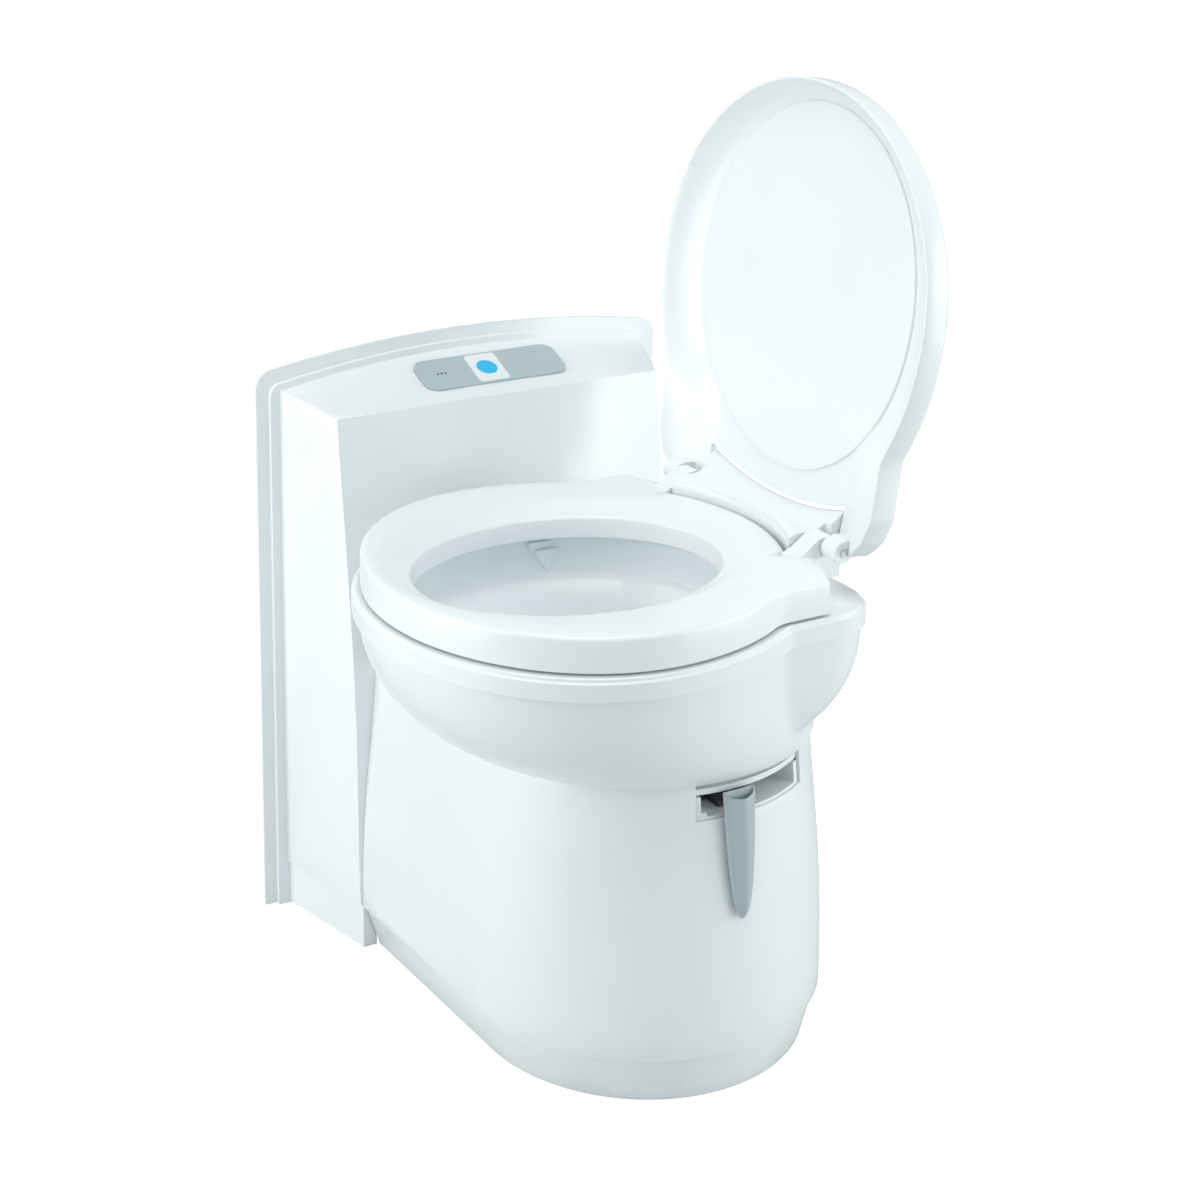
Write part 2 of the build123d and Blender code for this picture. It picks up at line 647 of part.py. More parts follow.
# ---- seat ---------------------------------------------------------------------------------------
def arm_plan():
    """Hinge arm that leaves the ring with a flat outer side and narrows to the knuckle."""
    inner = SEAT_KNUCKLE[0]
    pts = [(-40, 120), (-40, 190), (36, ARM_HALF_W), (104, ARM_HALF_W), (130, SEAT_KNUCKLE[1] + 4),
           (134, SEAT_KNUCKLE[1]), (134, inner), (100, inner)]
    return make_face(Polyline(*pts, close=True))


def seat_ring():
    """Ring with a crowned top that dips into the opening."""
    a, b, c = SEAT_EGG
    body = loft([
        egg(a - 3, b - 3, c - 3, SEAT_BOTTOM_Z),
        egg(a, b, c, SEAT_BOTTOM_Z + 6),
        egg(a, b, c, SEAT_TOP_Z - 16),
        egg(a - 6, b - 6, c - 6, SEAT_TOP_Z - 4),
        egg(a - 17, b - 17, c - 17, SEAT_TOP_Z),
    ], ruled=True)
    return body


def seat():
    body = seat_ring()
    for arm in mirrored(extrude(at(arm_plan(), 0, 0, SEAT_BOTTOM_Z), SEAT_TOP_Z - SEAT_BOTTOM_Z)):
        body += arm
    for barrel in mirrored(rod_y(BARREL_R, *SEAT_KNUCKLE, HINGE_X, HINGE_Z)):
        body += barrel
    for strap in mirrored(box(118, HINGE_X, *SEAT_KNUCKLE, HINGE_Z - BARREL_R, HINGE_Z)):
        body += strap
    a, b, c = OPENING_EGG
    body -= loft([egg(a, b, c, SEAT_TOP_Z - 14), egg(a + 34, b + 34, c + 20, SEAT_TOP_Z + 1)], ruled=True)
    body -= loft([egg(a + 8, b + 8, c + 8, SEAT_BOTTOM_Z - 1), egg(a, b, c, SEAT_TOP_Z - 13.9)], ruled=True)
    deck = extrude(at(deck_plan(-3.0), 0, 0, -70), 90.0)
    deck += box(140, 240, -SEAT_KNUCKLE[0] + 0.5, SEAT_KNUCKLE[0] - 0.5, 480, 600)
    body -= deck
    for bore in mirrored(rod_y(PIN_R + RUNNING, 100, 150, HINGE_X, HINGE_Z)):
        body -= bore
    return body


def seat_bumpers():
    pads = []
    for x, y in ((-220, 140), (-10, 192)):
        pads += mirrored(rod_z(9, RIM_TOP_Z + 0.1, SEAT_BOTTOM_Z, x, y))
    return group(pads)


# ---- lid, designed closed and then turned to its open rest pose -----------------------------------


def leg_plan(inset):
    """Both legs as one face, before the gap between them is cut."""
    w = LEG_HALF_W - inset
    x1, x2, x3 = HINGE_X - 42, HINGE_X - 19 - inset, HINGE_X + 3 - inset
    half = [(-40, w - 12), (LEG_START_X, w), (x1, w - 2), (x2, w - 14), (x3, w - 38)]
    pts = half + [(x, -y) for x, y in reversed(half)]
    return make_face(Polyline(*pts, close=True))


def lid_plan(inset, z):
    """Round lid with two legs, as a face."""
    a, b, c = (v - inset for v in LID_EGG)
    face = egg(a, b, c, 0, LID_X) & at(Rectangle(600, 600), LEG_START_X - 300)
    return at(face + leg_plan(inset), 0, 0, z)


def leg_gap(grow):
    """Opening between the two legs, with the lid's lower edge bulging towards the cover."""
    w = LEG_INNER + grow
    x_corner = HINGE_X - 39 - grow
    x_middle = HINGE_X - 19 - grow
    edge = ThreePointArc((x_corner, w), (x_middle, 0), (x_corner, -w))
    right = Line((x_corner, -w), (HINGE_X + 60, -w))
    back = Line((HINGE_X + 60, -w), (HINGE_X + 60, w))
    left = Line((HINGE_X + 60, w), (x_corner, w))
    return make_face(Wire([edge, right, back, left]))


def above_slant(drop):
    """Everything above the lid's back plane, or above a plane that much below it."""
    block = at(Box(1200, 800, 200), 0, 0, 100)
    return Pos(HINGE_X, 0, LID_CLOSED_Z + LID_DEPTH - drop) * Rot(0, -LID_SLANT, 0) * block


def opened(shape):
    """Turns a closed-lid shape about the hinge axis to the open rest pose."""
    return Pos(HINGE_X, 0, HINGE_Z) * Rot(0, 90 + LID_LEAN, 0) * Pos(-HINGE_X, 0, -HINGE_Z) * shape


def lid_shell():
    z0 = LID_CLOSED_Z
    body = extrude(lid_plan(0, z0), LID_DEPTH + 10) - above_slant(0)
    inner = extrude(lid_plan(LID_WALL, z0 - 1), LID_DEPTH + 10) - above_slant(LID_BACK)
    inner &= box(-400, HINGE_X - 20, -300, 300, 0, 700)
    gap = extrude(at(leg_gap(0), 0, 0, z0 - 1), LID_DEPTH + 12)
    frame = (extrude(at(leg_gap(LID_WALL), 0, 0, z0 + LEG_RIM), LID_DEPTH) & body)
    body = (body - inner) + frame - gap
    back = body.faces().sort_by(Axis.Z)[-1]
    body = chamfer(back.outer_wire().edges(), LID_BACK_R * 0.5)
    y0, y1 = LID_KNUCKLE
    for cheek in mirrored(box(HINGE_X - 14, HINGE_X + 3, y0, y1, HINGE_Z - 4, z0 + 12)):
        body += cheek
    for knuckle in mirrored(rod_y(12, y0, y1, HINGE_X, HINGE_Z)):
        body += knuckle
    for slot in mirrored(box(HINGE_X - 20, HINGE_X + 40, 100, y0, HINGE_Z - 20, HINGE_Z + 13)):
        body -= slot
    for bore in mirrored(rod_y(PIN_R + RUNNING, 110, y1 + 2.2, HINGE_X, HINGE_Z)):
        body -= bore
    return opened(body)


def lid_panel():
    """Inner panel with a raised oval outline, set in the shell."""
    z0 = LID_CLOSED_Z + 20
    clip = box(-400, HINGE_X - 21, -300, 300, 0, 700)
    plate = (extrude(lid_plan(LID_WALL + 0.3, z0), 40) & above_slant(LID_BACK + 2.5)) - above_slant(LID_BACK)
    x, a, b = PANEL_OVAL
    ring = Pos(x, 0, z0) * (extrude(Ellipse(a + 2, b + 2), 40) - extrude(Ellipse(a - 2, b - 2), 40))
    ring = (ring & above_slant(LID_BACK + 4)) - above_slant(LID_BACK + 2)
    gap = extrude(at(leg_gap(LID_WALL + 0.4), 0, 0, z0 - 3), 60)
    return opened((plate & clip) + ring - gap)


# ---- control panel ------------------------------------------------------------------------------
def control_panel():
    plate = rounded_plate(2 * PANEL_HALF_W, 2 * PANEL_HALF_D, 15, 0.05, PANEL_TOP)
    plate += rounded_plate(2 * PANEL_HALF_W - 9, 2 * PANEL_HALF_D - 9, 10, -8, 0.1)
    plate -= rounded_plate(2 * PANEL_HALF_W - 13, 2 * PANEL_HALF_D - 13, 8, -9, -2.5)
    plate -= at(Box(36, 2 * PANEL_HALF_D - 14, 20), BUTTON_X, 0, 0)
    plate -= at(rounded_plate(*PLATE_SIZE, 5, 0.4, 5), BUTTON_X)
    for i in range(3):
        plate -= at(Cylinder(1.5, 12), LAMP_X + 5 * i, 0, 0)
    return on_panel(plate)


def button_plate():
    """White insert that frames the flush button."""
    w, d = (v - 0.2 for v in PLATE_SIZE)
    plate = at(rounded_plate(w, d, 4.9, 0.45, 2.0), BUTTON_X)
    plate += at(Box(35.8, 2 * PANEL_HALF_D - 14.2, 3), BUTTON_X, 0, 0)
    plate -= at(Cylinder(BUTTON_R + RUNNING, 20), BUTTON_X, 0, 0)
    return on_panel(plate)


def flush_button():
    cap = at(Cylinder(BUTTON_R, 5.0), BUTTON_X, 0, 0.0)
    stem = at(Cylinder(3.0, 6.0), BUTTON_X, 0, -5.0)
    return on_panel(fillet(cap.edges().group_by(Axis.Z)[-1], 0.8) + stem)


def level_lamps():
    return on_panel(group([at(Cylinder(1.5, 4.4), LAMP_X + 5 * i, 0, -0.4) for i in range(3)]))


def circuit_board():
    board = at(Box(120, 34, 1.6), -8, 0, -14.0)
    switch = at(Box(9, 9, 3), BUTTON_X, 0, -11.8)
    chips = [at(Box(12, 8, 2), -40 + 22 * i, 8, -12.3) for i in range(2)]
    posts = [at(Cylinder(2.5, 9), x, 0, -9.6) for x in (-60, 46)]
    body = board + switch
    for c in chips + posts:
        body += c
    return on_panel(body)


def flush_valve():
    """Solenoid valve that lets fresh water to the bowl, on a bracket inside the console."""
    body = box(-150, -110, 290, 320, 380, 410) + rod_z(11, 408, 440, -130, 305)
    body += rod_z(5, 350, 382, -130, 305)
    body += rod_y(5, 318, 386, -130, 395)
    bracket = box(-175, -108, 320, 323, 372, 418)
    return body + bracket + box(-178, -172, 320, 335, 372, 418)


def flush_hose():
    """Water pipe from the valve down and across to the swivel union below the deck."""
    x, y, z = -130.0, 305.0, HOSE_Z
    run = math.hypot(x, y - UNION_Y)
    start = Plane(origin=(x, y, z), z_dir=(-x, UNION_Y - y, 0))
    pipe = rod_z(HOSE_R, z, 349.9, x, y) + at(Sphere(HOSE_R), x, y, z)
    pipe += extrude(start * Circle(HOSE_R), run)
    return pipe + rod_z(6.0, z - 6, DECK_TOP_Z - 0.1, 0, UNION_Y)


def power_cable():
    points = ((-40, 336, 600), (-60, 330, 520), (-110, 315, 470), (-130, 305, 440.1))
    path = Spline(*points, tangents=((0, 0, -1), (0, 0, -1)))
    start = Plane(origin=path @ 0, z_dir=path % 0)
    return sweep(start * Circle(3.0), path=path)


def pedestal_screws():
    """Screws that hold the pedestal's flanges to the console's frame, driven from behind."""
    front, back = FRAME_Y
    screws = []
    for x, z in pedestal_screw_places():
        screws.append(rod_y(2.2, front - 8, back, x, z) + rod_y(4.5, back, back + 3, x, z))
    return group(screws)


def console_frame():
    """Inner cross frame that ties pedestal, console and flange together."""
    frame = box(-206, 206, *FRAME_Y, 56, 340) - box(-172, 172, 260, 280, 4, 332)
    for x, z in pedestal_screw_places():
        frame -= rod_y(2.2, FRAME_Y[0] - 1, FRAME_Y[1] + 1, x, z)
    return frame


# ---- tank ---------------------------------------------------------------------------------------
def tank_outer(inset):
    """Low box with a hump below the bowl. The hump widens at its top to house the open blade."""
    half_w = TANK_HALF_W - inset
    front = TANK_FRONT + TANK_ROUND_Y - inset
    z0 = TANK_BOTTOM_Z + inset
    plan = u_plan(half_w, front, half_w, TANK_BACK_Y - inset, z0, TANK_ROUND_Y)
    body = extrude(plan, TANK_TOP_Z - inset - z0)
    side = HUMP_HALF_W - inset
    z0 = TANK_TOP_Z - 2 * inset
    plan = u_plan(side, 92 - inset, side, HUMP_BACK_Y - inset, z0, TANK_ROUND_Y)
    hump = extrude(plan, HUMP_TOP_Z - inset - z0)
    z0 = CHAMBER_Z + inset
    plan = u_plan(half_w, front, half_w, CHAMBER_BACK_Y - inset, z0, TANK_ROUND_Y)
    hump += extrude(plan, HUMP_TOP_Z - inset - z0)
    wheel_x, wheel_y, wheel_z = WHEEL_AT
    room = 30 + inset
    well = box(wheel_x - 14 - inset, 200, wheel_y - room, wheel_y + room, 0, wheel_z + 28 + inset)
    body += hump
    for w in mirror_x(well):
        body -= w
    return body


def mirror_x(shape):
    return [shape, mirror(shape, Plane.YZ)]


def tank_shell():
    body = tank_outer(0) - tank_outer(TANK_WALL)
    body -= rod_z(OUTLET_R + 3, 270, 300)
    x, z = SPOUT_AT
    body += rod_y(SPOUT_R + 6, TANK_BACK_Y - 4, TANK_BACK_Y + 10, x, z)
    body -= rod_y(SPOUT_R + RUNNING, TANK_BACK_Y - 10, TANK_BACK_Y + 20, x, z)
    body -= rod_z(6.05, 270, 300, -80, 60)
    body -= rod_z(5.05, 270, 290, 0, DRIVE_Y)
    for hole in mirror_x(rod_x(3.0, 110, 124, WHEEL_AT[1], WHEEL_AT[2])):
        body -= hole
    return body


def valve_housing():
    """Flat chamber inside the tank's mouth in which the blade swings."""
    top = rod_z(62, HUMP_TOP_Z, 298)
    body = top + rod_z(14, HUMP_TOP_Z, 296, 0, DRIVE_Y) + box(-14, 14, DRIVE_Y, -50, HUMP_TOP_Z, 296)
    body -= rod_z(OUTLET_R, 280, 330)
    body -= rod_z(5.05, 280, 330, 0, DRIVE_Y)
    return body


def mouth_ring():
    """Collar of the mouth, notched where the drive gear turns."""
    gear_space = rod_z(DRIVE_PITCH_R + GEAR_MODULE, GEAR_Z - 1, 320, 0, DRIVE_Y)
    return ring_z(60, OUTLET_R + 1, 298.0, 312.0) - gear_space


def lip_seal():
    return ring_z(57, OUTLET_R + 2, 312.0, 317.4)


def valve_blade():
    """Disc on an arm that closes the mouth from below and swings aside with the drive gear."""
    z0, z1 = BLADE_Z
    disc = rod_z(OUTLET_R + 5, z0, z1)
    arm = box(-12, 12, DRIVE_Y - 12, 0, z0, z1) + rod_z(12, z0, z1, 0, DRIVE_Y)
    shaft = rod_z(5, z1 - 1, GEAR_Z + 1, 0, DRIVE_Y)
    return disc + arm + shaft


def drive_gear():
    tip_r = DRIVE_PITCH_R + 0.8 * GEAR_MODULE
    root_r = DRIVE_PITCH_R - 1.2 * GEAR_MODULE
    face = involute_teeth(DRIVE_TEETH, GEAR_MODULE, tip_r, root_r, BACKLASH, -math.pi / 2)
    gear = extrude(at(face, 0, DRIVE_Y, GEAR_Z), GEAR_T)
    cap = rod_z(8, GEAR_Z + GEAR_T, GEAR_Z + GEAR_T + 3, 0, DRIVE_Y)
    return gear + cap - rod_z(5, GEAR_Z - 1, GEAR_Z + 1, 0, DRIVE_Y)


def vent_plunger():
    return rod_z(6, 272, 294, -80, 60) + rod_z(9, 294, 298, -80, 60) + rod_z(8.5, 268, 272, -80, 60)


def spout():
    """Swivelling pour-out elbow on the tank's end."""
    x, z = SPOUT_AT
    y0 = TANK_BACK_Y
    bend = 28.0
    y1 = y0 + 12 + bend + 10
    first = Line((x, y0 - 6, z), (x, y1 - bend, z))
    last = Line((x + bend, y1, z), (x + 112, y1, z))
    corner = corner_path(first, last)
    outer = tube_along(first, corner, last, SPOUT_R)
    inner = tube_along(first, corner, last, SPOUT_R - 3)
    collar = rod_y(SPOUT_R + 4, y0 + 10.4, y0 + 15, x, z)
    return (outer + (collar - rod_y(SPOUT_R - 3, y0, y0 + 30, x, z))) - inner


def tube_along(first, corner, last, r):
    body = sweep(Plane(origin=first @ 0, z_dir=first % 0) * Circle(r), path=first)
    body += sweep(Plane(origin=first @ 1, z_dir=first % 1) * Circle(r), path=corner)
    body += sweep(Plane(origin=last @ 0, z_dir=last % 0) * Circle(r), path=last)
    return body


def corner_path(first, last):
    a = first @ 1
    b = last @ 0
    bend = b.X - a.X
    mid = (b.X - bend * math.cos(math.pi / 4), a.Y + bend * math.sin(math.pi / 4), a.Z)
    return ThreePointArc(a, mid, b)


def spout_cap():
    x, z = SPOUT_AT
    y = TANK_BACK_Y + 50.0
    body = rod_x(SPOUT_R + 4.5, x + 96, x + 118, y, z)
    body -= rod_x(SPOUT_R + RUNNING, x + 95, x + 112.1, y, z)
    for i in range(16):
        a = 2 * math.pi * i / 16
        r = SPOUT_R + 5.6
        body -= rod_x(1.8, x + 98, x + 119, y + r * math.cos(a), z + r * math.sin(a))
    return body


def pull_handle():
    x0, x1 = HANDLE_X
    rods = rod_y(5, 122, 266, x0, HANDLE_Z) + rod_y(5, 122, 266, x1, HANDLE_Z)
    grip = rod_x(7, x0 - 9, x1 + 9, 266, HANDLE_Z)
    return rods + grip


def handle_guides():
    blocks = []
    for x in HANDLE_X:
        for y in (140, 225):
            block = box(x - 11, x + 11, y - 9, y + 9, TANK_TOP_Z, HANDLE_Z + 9)
            blocks.append(block - rod_y(5 + RUNNING, y - 10, y + 10, x, HANDLE_Z))
    return group(blocks)


def wheel(side):
    x, y, z = WHEEL_AT
    body = rod_x(WHEEL_R, x - 8, x + 8, y, z) - rod_x(WHEEL_R - 5, x + 5, x + 9, y, z)
    body -= rod_x(3 + RUNNING, x - 9, x + 9, y, z)
    return body if side > 0 else mirror(body, Plane.YZ)


def wheel_axles():
    x, y, z = WHEEL_AT
    axle = rod_x(3, x - 16, x + 10, y, z) + rod_x(5, x + 8.3, x + 10, y, z)
    return group(mirror_x(axle))


def float_bracket():
    return box(60, 76, 182, 198, 170, TANK_TOP_Z - TANK_WALL) - rod_x(2.05, 50, 90, 190, 178)


def level_float():
    arm = box(77, 81, 92, 194, 174, 182) + rod_x(2, 60, 82, 190, 178)
    bulb = rod_x(16, 64, 94, 82, 168)
    return arm + fillet(bulb.edges().filter_by(GeomType.CIRCLE), 4)


def level_sensor():
    """Reed sensor on the frame that reads the tank's float magnet."""
    return box(173, 181, 268, 269.9, 150, 190) + box(176, 196, 268.0, 269.9, 160, 164)


def tank_catch():
    """Flap whose tooth rises behind the tank's end. It lies low, released, at rest."""
    x, y, z = CATCH_AT
    body = rod_x(6, -18, 18, y, z) + box(-18, 18, y - 46, y, z - 2.5, z + 2.5)
    body += box(-18, 18, y - 46, y - 42, z - 2.5, z + 7.4)
    return body - rod_x(3 + RUNNING, -20, 20, y, z)


def catch_bracket():
    x, y, z = CATCH_AT
    ears = mirror_x(box(18.5, 22.5, y - 8, y + 8, 5, z + 7))
    return ears[0] + ears[1] + rod_x(3, -22.5, 22.5, y, z)


# ---- export -------------------------------------------------------------------------------------
NODES = {
    "wall_flange": wall_flange,
    "console_housing": console_housing,
    "console_plinth": console_plinth,
    "console_frame": console_frame,
    "pedestal_shell": pedestal_shell,
    "toe_plinth": toe_plinth,
    "base_pan": base_pan,
    "tank_rails": tank_rails,
    "swivel_deck": swivel_deck,
    "bearing_ring": bearing_ring,
    "deck_screws": deck_screws,
    "pedestal_screws": pedestal_screws,
    "lever_guide": lever_guide,
    "slot_trim": slot_trim,
    "control_panel": control_panel,
    "button_plate": button_plate,
    "level_lamps": level_lamps,
    "circuit_board": circuit_board,
    "flush_valve": flush_valve,
    "flush_hose": flush_hose,
    "power_cable": power_cable,
    "level_sensor": level_sensor,
    "catch_bracket": catch_bracket,
    "flush_button": flush_button,
    "tank_catch": tank_catch,
    "lever_carrier": lever_carrier,
    "valve_lever": valve_lever,
    "bowl_shell": bowl_shell,
    "bowl_liner": bowl_liner,
    "outlet_neck": outlet_neck,
    "swivel_retainer": swivel_retainer,
    "hinge_bridge": hinge_bridge,
    "hinge_cover": hinge_cover,
    "hinge_pins": hinge_pins,
    "flush_nozzle": flush_nozzle,
    "bowl_hose": bowl_hose,
    "seat": seat,
    "seat_bumpers": seat_bumpers,
    "lid_shell": lid_shell,
    "lid_panel": lid_panel,
    "tank_shell": tank_shell,
    "valve_housing": valve_housing,
    "mouth_ring": mouth_ring,
    "lip_seal": lip_seal,
    "valve_blade": valve_blade,
    "drive_gear": drive_gear,
    "vent_plunger": vent_plunger,
    "spout": spout,
    "spout_cap": spout_cap,
    "pull_handle": pull_handle,
    "handle_guides": handle_guides,
    "right_wheel": lambda: wheel(1),
    "left_wheel": lambda: wheel(-1),
    "wheel_axles": wheel_axles,
    "float_bracket": float_bracket,
    "level_float": level_float,
}

if __name__ == "__main__":
    os.makedirs(OUT, exist_ok=True)
    for name, make in NODES.items():
        export_step(make(), f"{OUT}/{name}.step")
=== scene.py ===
"""Cassette toilet with a swivelling bowl: the visual model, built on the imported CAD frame.

Shapes are written in millimetres in the row frame (origin on the floor below the swivel axis,
+Y to the wall, +Z up) and scaled to metres when a mesh is made.
"""
import bpy
import json
import math
from mathutils import Matrix, Vector
from mathutils.geometry import delaunay_2d_cdt


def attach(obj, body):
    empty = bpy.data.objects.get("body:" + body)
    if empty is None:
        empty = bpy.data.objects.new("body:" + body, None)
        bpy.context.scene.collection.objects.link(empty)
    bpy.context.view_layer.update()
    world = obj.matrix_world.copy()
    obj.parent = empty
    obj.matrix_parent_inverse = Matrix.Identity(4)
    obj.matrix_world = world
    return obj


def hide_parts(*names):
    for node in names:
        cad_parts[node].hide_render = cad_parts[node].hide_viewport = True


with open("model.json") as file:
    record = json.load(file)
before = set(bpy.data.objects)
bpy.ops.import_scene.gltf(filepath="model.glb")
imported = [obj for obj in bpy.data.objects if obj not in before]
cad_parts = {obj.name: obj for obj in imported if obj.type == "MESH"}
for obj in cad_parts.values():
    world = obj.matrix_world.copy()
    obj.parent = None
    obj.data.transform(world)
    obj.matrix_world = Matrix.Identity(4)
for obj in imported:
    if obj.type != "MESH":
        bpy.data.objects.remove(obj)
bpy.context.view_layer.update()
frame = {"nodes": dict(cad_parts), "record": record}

MM = 0.001

# ---- driving dimensions, millimetres --------------------------------------------------------------
EGG_X = -95.0                      # widest place of the rim, the seat and the opening
RIM_EGG = (218.0, 246.0, 262.0)    # reach to the front, half width, reach to the rear
SEAT_EGG = (208.0, 238.0, 246.0)
OPENING_EGG = (166.0, 142.0, 178.0)
LINER_EGG = (186.0, 172.0, 208.0)
BOWL_BOTTOM_Z = 347.0
BOWL_BOTTOM_R = 190.0
BAND_Z = (479.0, 499.0)
RIM_TOP_Z = 503.0
BLOCK_HALF_W = 203.0
BLOCK_REAR_X = 178.0
LEDGE_Z = 457.0

SEAT_Z = (506.0, 545.0)
HINGE_X = 147.0
HINGE_Z = 552.0
ARM_HALF_W = 198.0
KNUCKLE_Y = (112.5, 137.5)
COVER_HALF_W = 111.5
COVER_REAR_X = 184.0
COVER_HORN_X = 161.5      # the cover runs on behind the knuckles from here
COVER_HORN_Y = 122.5

LID_PLANE_Z = HINGE_Z
LID_EGG = (231.0, 237.0, 262.0)
LID_X = HINGE_X - 479.0 + LID_EGG[0]
LID_DEPTH = 36.0
LID_SLANT = math.tan(math.radians(0.5))
LID_BACK = 5.0
LID_OPEN = math.radians(98.0)
OVAL = (-105.0, 203.0, 186.0)
LEG_HALF_W = 200.0
GAP_HALF_W = 124.0

LEVER_Y = 190.5
NOZZLE_AT = (-20.0, 144.0, 483.5)


# ---- plan shapes as signed distances, negative inside ----------------------------------------------
def clamp(v, lo=0.0, hi=1.0):
    return max(lo, min(hi, v))


def smooth(t):
    t = clamp(t)
    return t * t * (3.0 - 2.0 * t)


def join(a, b, k):
    """Union of two distances with a fillet of about k."""
    h = max(k - abs(a - b), 0.0) / k
    return min(a, b) - h * h * k / 4.0


def ellipse(x, y, a, b):
    rho = math.hypot(x / a, y / b)
    grad = math.hypot(x / a ** 2, y / b ** 2)
    if grad < 1e-9:
        return -min(a, b)
    return (rho - 1.0) * rho / grad


def egg(x, y, dims, grow=0.0, centre=EGG_X):
    """Two half ellipses that meet at the widest place; the front points to -X."""
    a, b, c = (v + grow for v in dims)
    return ellipse(x - centre, y, a if x < centre else c, b)


def rounded_block(x, y, half_w, rear_x, corner):
    """Box from x = 0 to rear_x with rounded rear corners."""
    mid = rear_x / 2.0 - 60.0
    half = rear_x - mid
    qx = abs(x - mid) - half + corner
    qy = abs(y) - half_w + corner
    return math.hypot(max(qx, 0.0), max(qy, 0.0)) + min(max(qx, qy), 0.0) - corner


def polygon(x, y, pts):
    """Signed distance to a closed polygon."""
    best = 1e9
    inside = False
    n = len(pts)
    for i in range(n):
        ax, ay = pts[i]
        bx, by = pts[(i + 1) % n]
        ex, ey = bx - ax, by - ay
        t = clamp(((x - ax) * ex + (y - ay) * ey) / (ex * ex + ey * ey))
        best = min(best, math.hypot(x - ax - t * ex, y - ay - t * ey))
        if (ay > y) != (by > y) and x < (bx - ax) * (y - ay) / (by - ay) + ax:
            inside = not inside
    return -best if inside else best


# ---- mesh builders ----------------------------------------------------------------------------------
def make_object(name, verts, faces, sharp=40.0, place=None):
    """Mesh object from millimetre vertices, smooth shaded with sharp edges kept."""
    mesh = bpy.data.meshes.new(name)
    mesh.from_pydata([Vector(v) * MM for v in verts], [], faces)
    mesh.validate()
    mesh.update()
    mesh.shade_smooth()
    mesh.set_sharp_from_angle(angle=math.radians(sharp))
    obj = bpy.data.objects.new(name, mesh)
    bpy.context.scene.collection.objects.link(obj)
    if place is not None:
        mesh.transform(place)
    fix_normals(mesh)
    return obj


def fix_normals(mesh):
    import bmesh
    bm = bmesh.new()
    bm.from_mesh(mesh)
    bmesh.ops.recalc_face_normals(bm, faces=bm.faces)
    bm.to_mesh(mesh)
    bm.free()


def finish_piece(obj, body, material, slot, *nodes):
    obj.data.materials.clear()
    obj.data.materials.append(material)
    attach(obj, body)
    if nodes:
        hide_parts(*nodes)
    return obj


def polar_ring(z, dist, count=240, centre=(-30.0, 0.0), reach=420.0):
    """Ring of points at height z where the plan's distance is zero, seen from centre."""
    ring = []
    for i in range(count):
        ang = 2.0 * math.pi * i / count
        cx, cy = math.cos(ang), math.sin(ang)
        lo, hi = 0.0, reach
        for _ in range(26):
            mid = (lo + hi) / 2.0
            if dist(centre[0] + cx * mid, centre[1] + cy * mid) < 0.0:
                lo = mid
            else:
                hi = mid
        ring.append((centre[0] + cx * lo, centre[1] + cy * lo, z))
    return ring


def bridge_rings(rings, closed):
    """Quads between successive rings of equal count; closed joins the last ring to the first."""
    count = len(rings[0])
    verts = [p for ring in rings for p in ring]
    faces = []
    spans = len(rings) if closed else len(rings) - 1
    for r in range(spans):
        s = (r + 1) % len(rings)
        for i in range(count):
            j = (i + 1) % count
            faces.append((r * count + i, r * count + j, s * count + j, s * count + i))
    if not closed:
        faces.append(tuple(range(count))[::-1])
        faces.append(tuple(range((len(rings) - 1) * count, len(rings) * count)))
    return verts, faces


def contour(dist, lo, hi, step):
    """Closed loops of points where dist is zero, traced on a grid and refined."""
    nx = int((hi[0] - lo[0]) / step) + 1
    ny = int((hi[1] - lo[1]) / step) + 1
    value = [[dist(lo[0] + i * step, lo[1] + j * step) for j in range(ny)] for i in range(nx)]

    def crossing(key):
        i, j, axis = key
        a = (lo[0] + i * step, lo[1] + j * step)
        b = (a[0] + step * (axis == 0), a[1] + step * (axis == 1))
        sign = value[i][j] < 0.0
        t0, t1 = 0.0, 1.0
        for _ in range(14):
            t = (t0 + t1) / 2.0
            if (dist(a[0] + (b[0] - a[0]) * t, a[1] + (b[1] - a[1]) * t) < 0.0) == sign:
                t0 = t
            else:
                t1 = t
        return (a[0] + (b[0] - a[0]) * t0, a[1] + (b[1] - a[1]) * t0)

    links = {}
    for i in range(nx - 1):
        for j in range(ny - 1):
            edges = ((i, j, 0), (i + 1, j, 1), (i, j + 1, 0), (i, j, 1))
            signs = (value[i][j] < 0, value[i + 1][j] < 0, value[i + 1][j + 1] < 0, value[i][j + 1] < 0)
            hit = [edges[k] for k in range(4) if signs[k] != signs[(k + 1) % 4]]
            if len(hit) == 2:
                links.setdefault(hit[0], []).append(hit[1])
                links.setdefault(hit[1], []).append(hit[0])
    loops = []
    left = set(links)
    while left:
        start = min(left)
        loop = [start]
        left.discard(start)
        while True:
            onward = [k for k in links[loop[-1]] if k in left]
            if not onward:
                break
            loop.append(onward[0])
            left.discard(onward[0])
        if len(loop) > 8:
            loops.append([crossing(k) for k in loop])
    return loops


def resample(loop, spacing):
    """Points at even spacing along a closed loop."""
    n = len(loop)
    lengths = [math.dist(loop[i], loop[(i + 1) % n]) for i in range(n)]
    total = sum(lengths)
    count = max(12, round(total / spacing))
    out = []
    i, walked = 0, 0.0
    for k in range(count):
        want = total * k / count
        while walked + lengths[i] < want:
            walked += lengths[i]
            i += 1
        t = (want - walked) / max(lengths[i], 1e-9)
        a, b = loop[i], loop[(i + 1) % n]
        out.append((a[0] + (b[0] - a[0]) * t, a[1] + (b[1] - a[1]) * t))
    return out


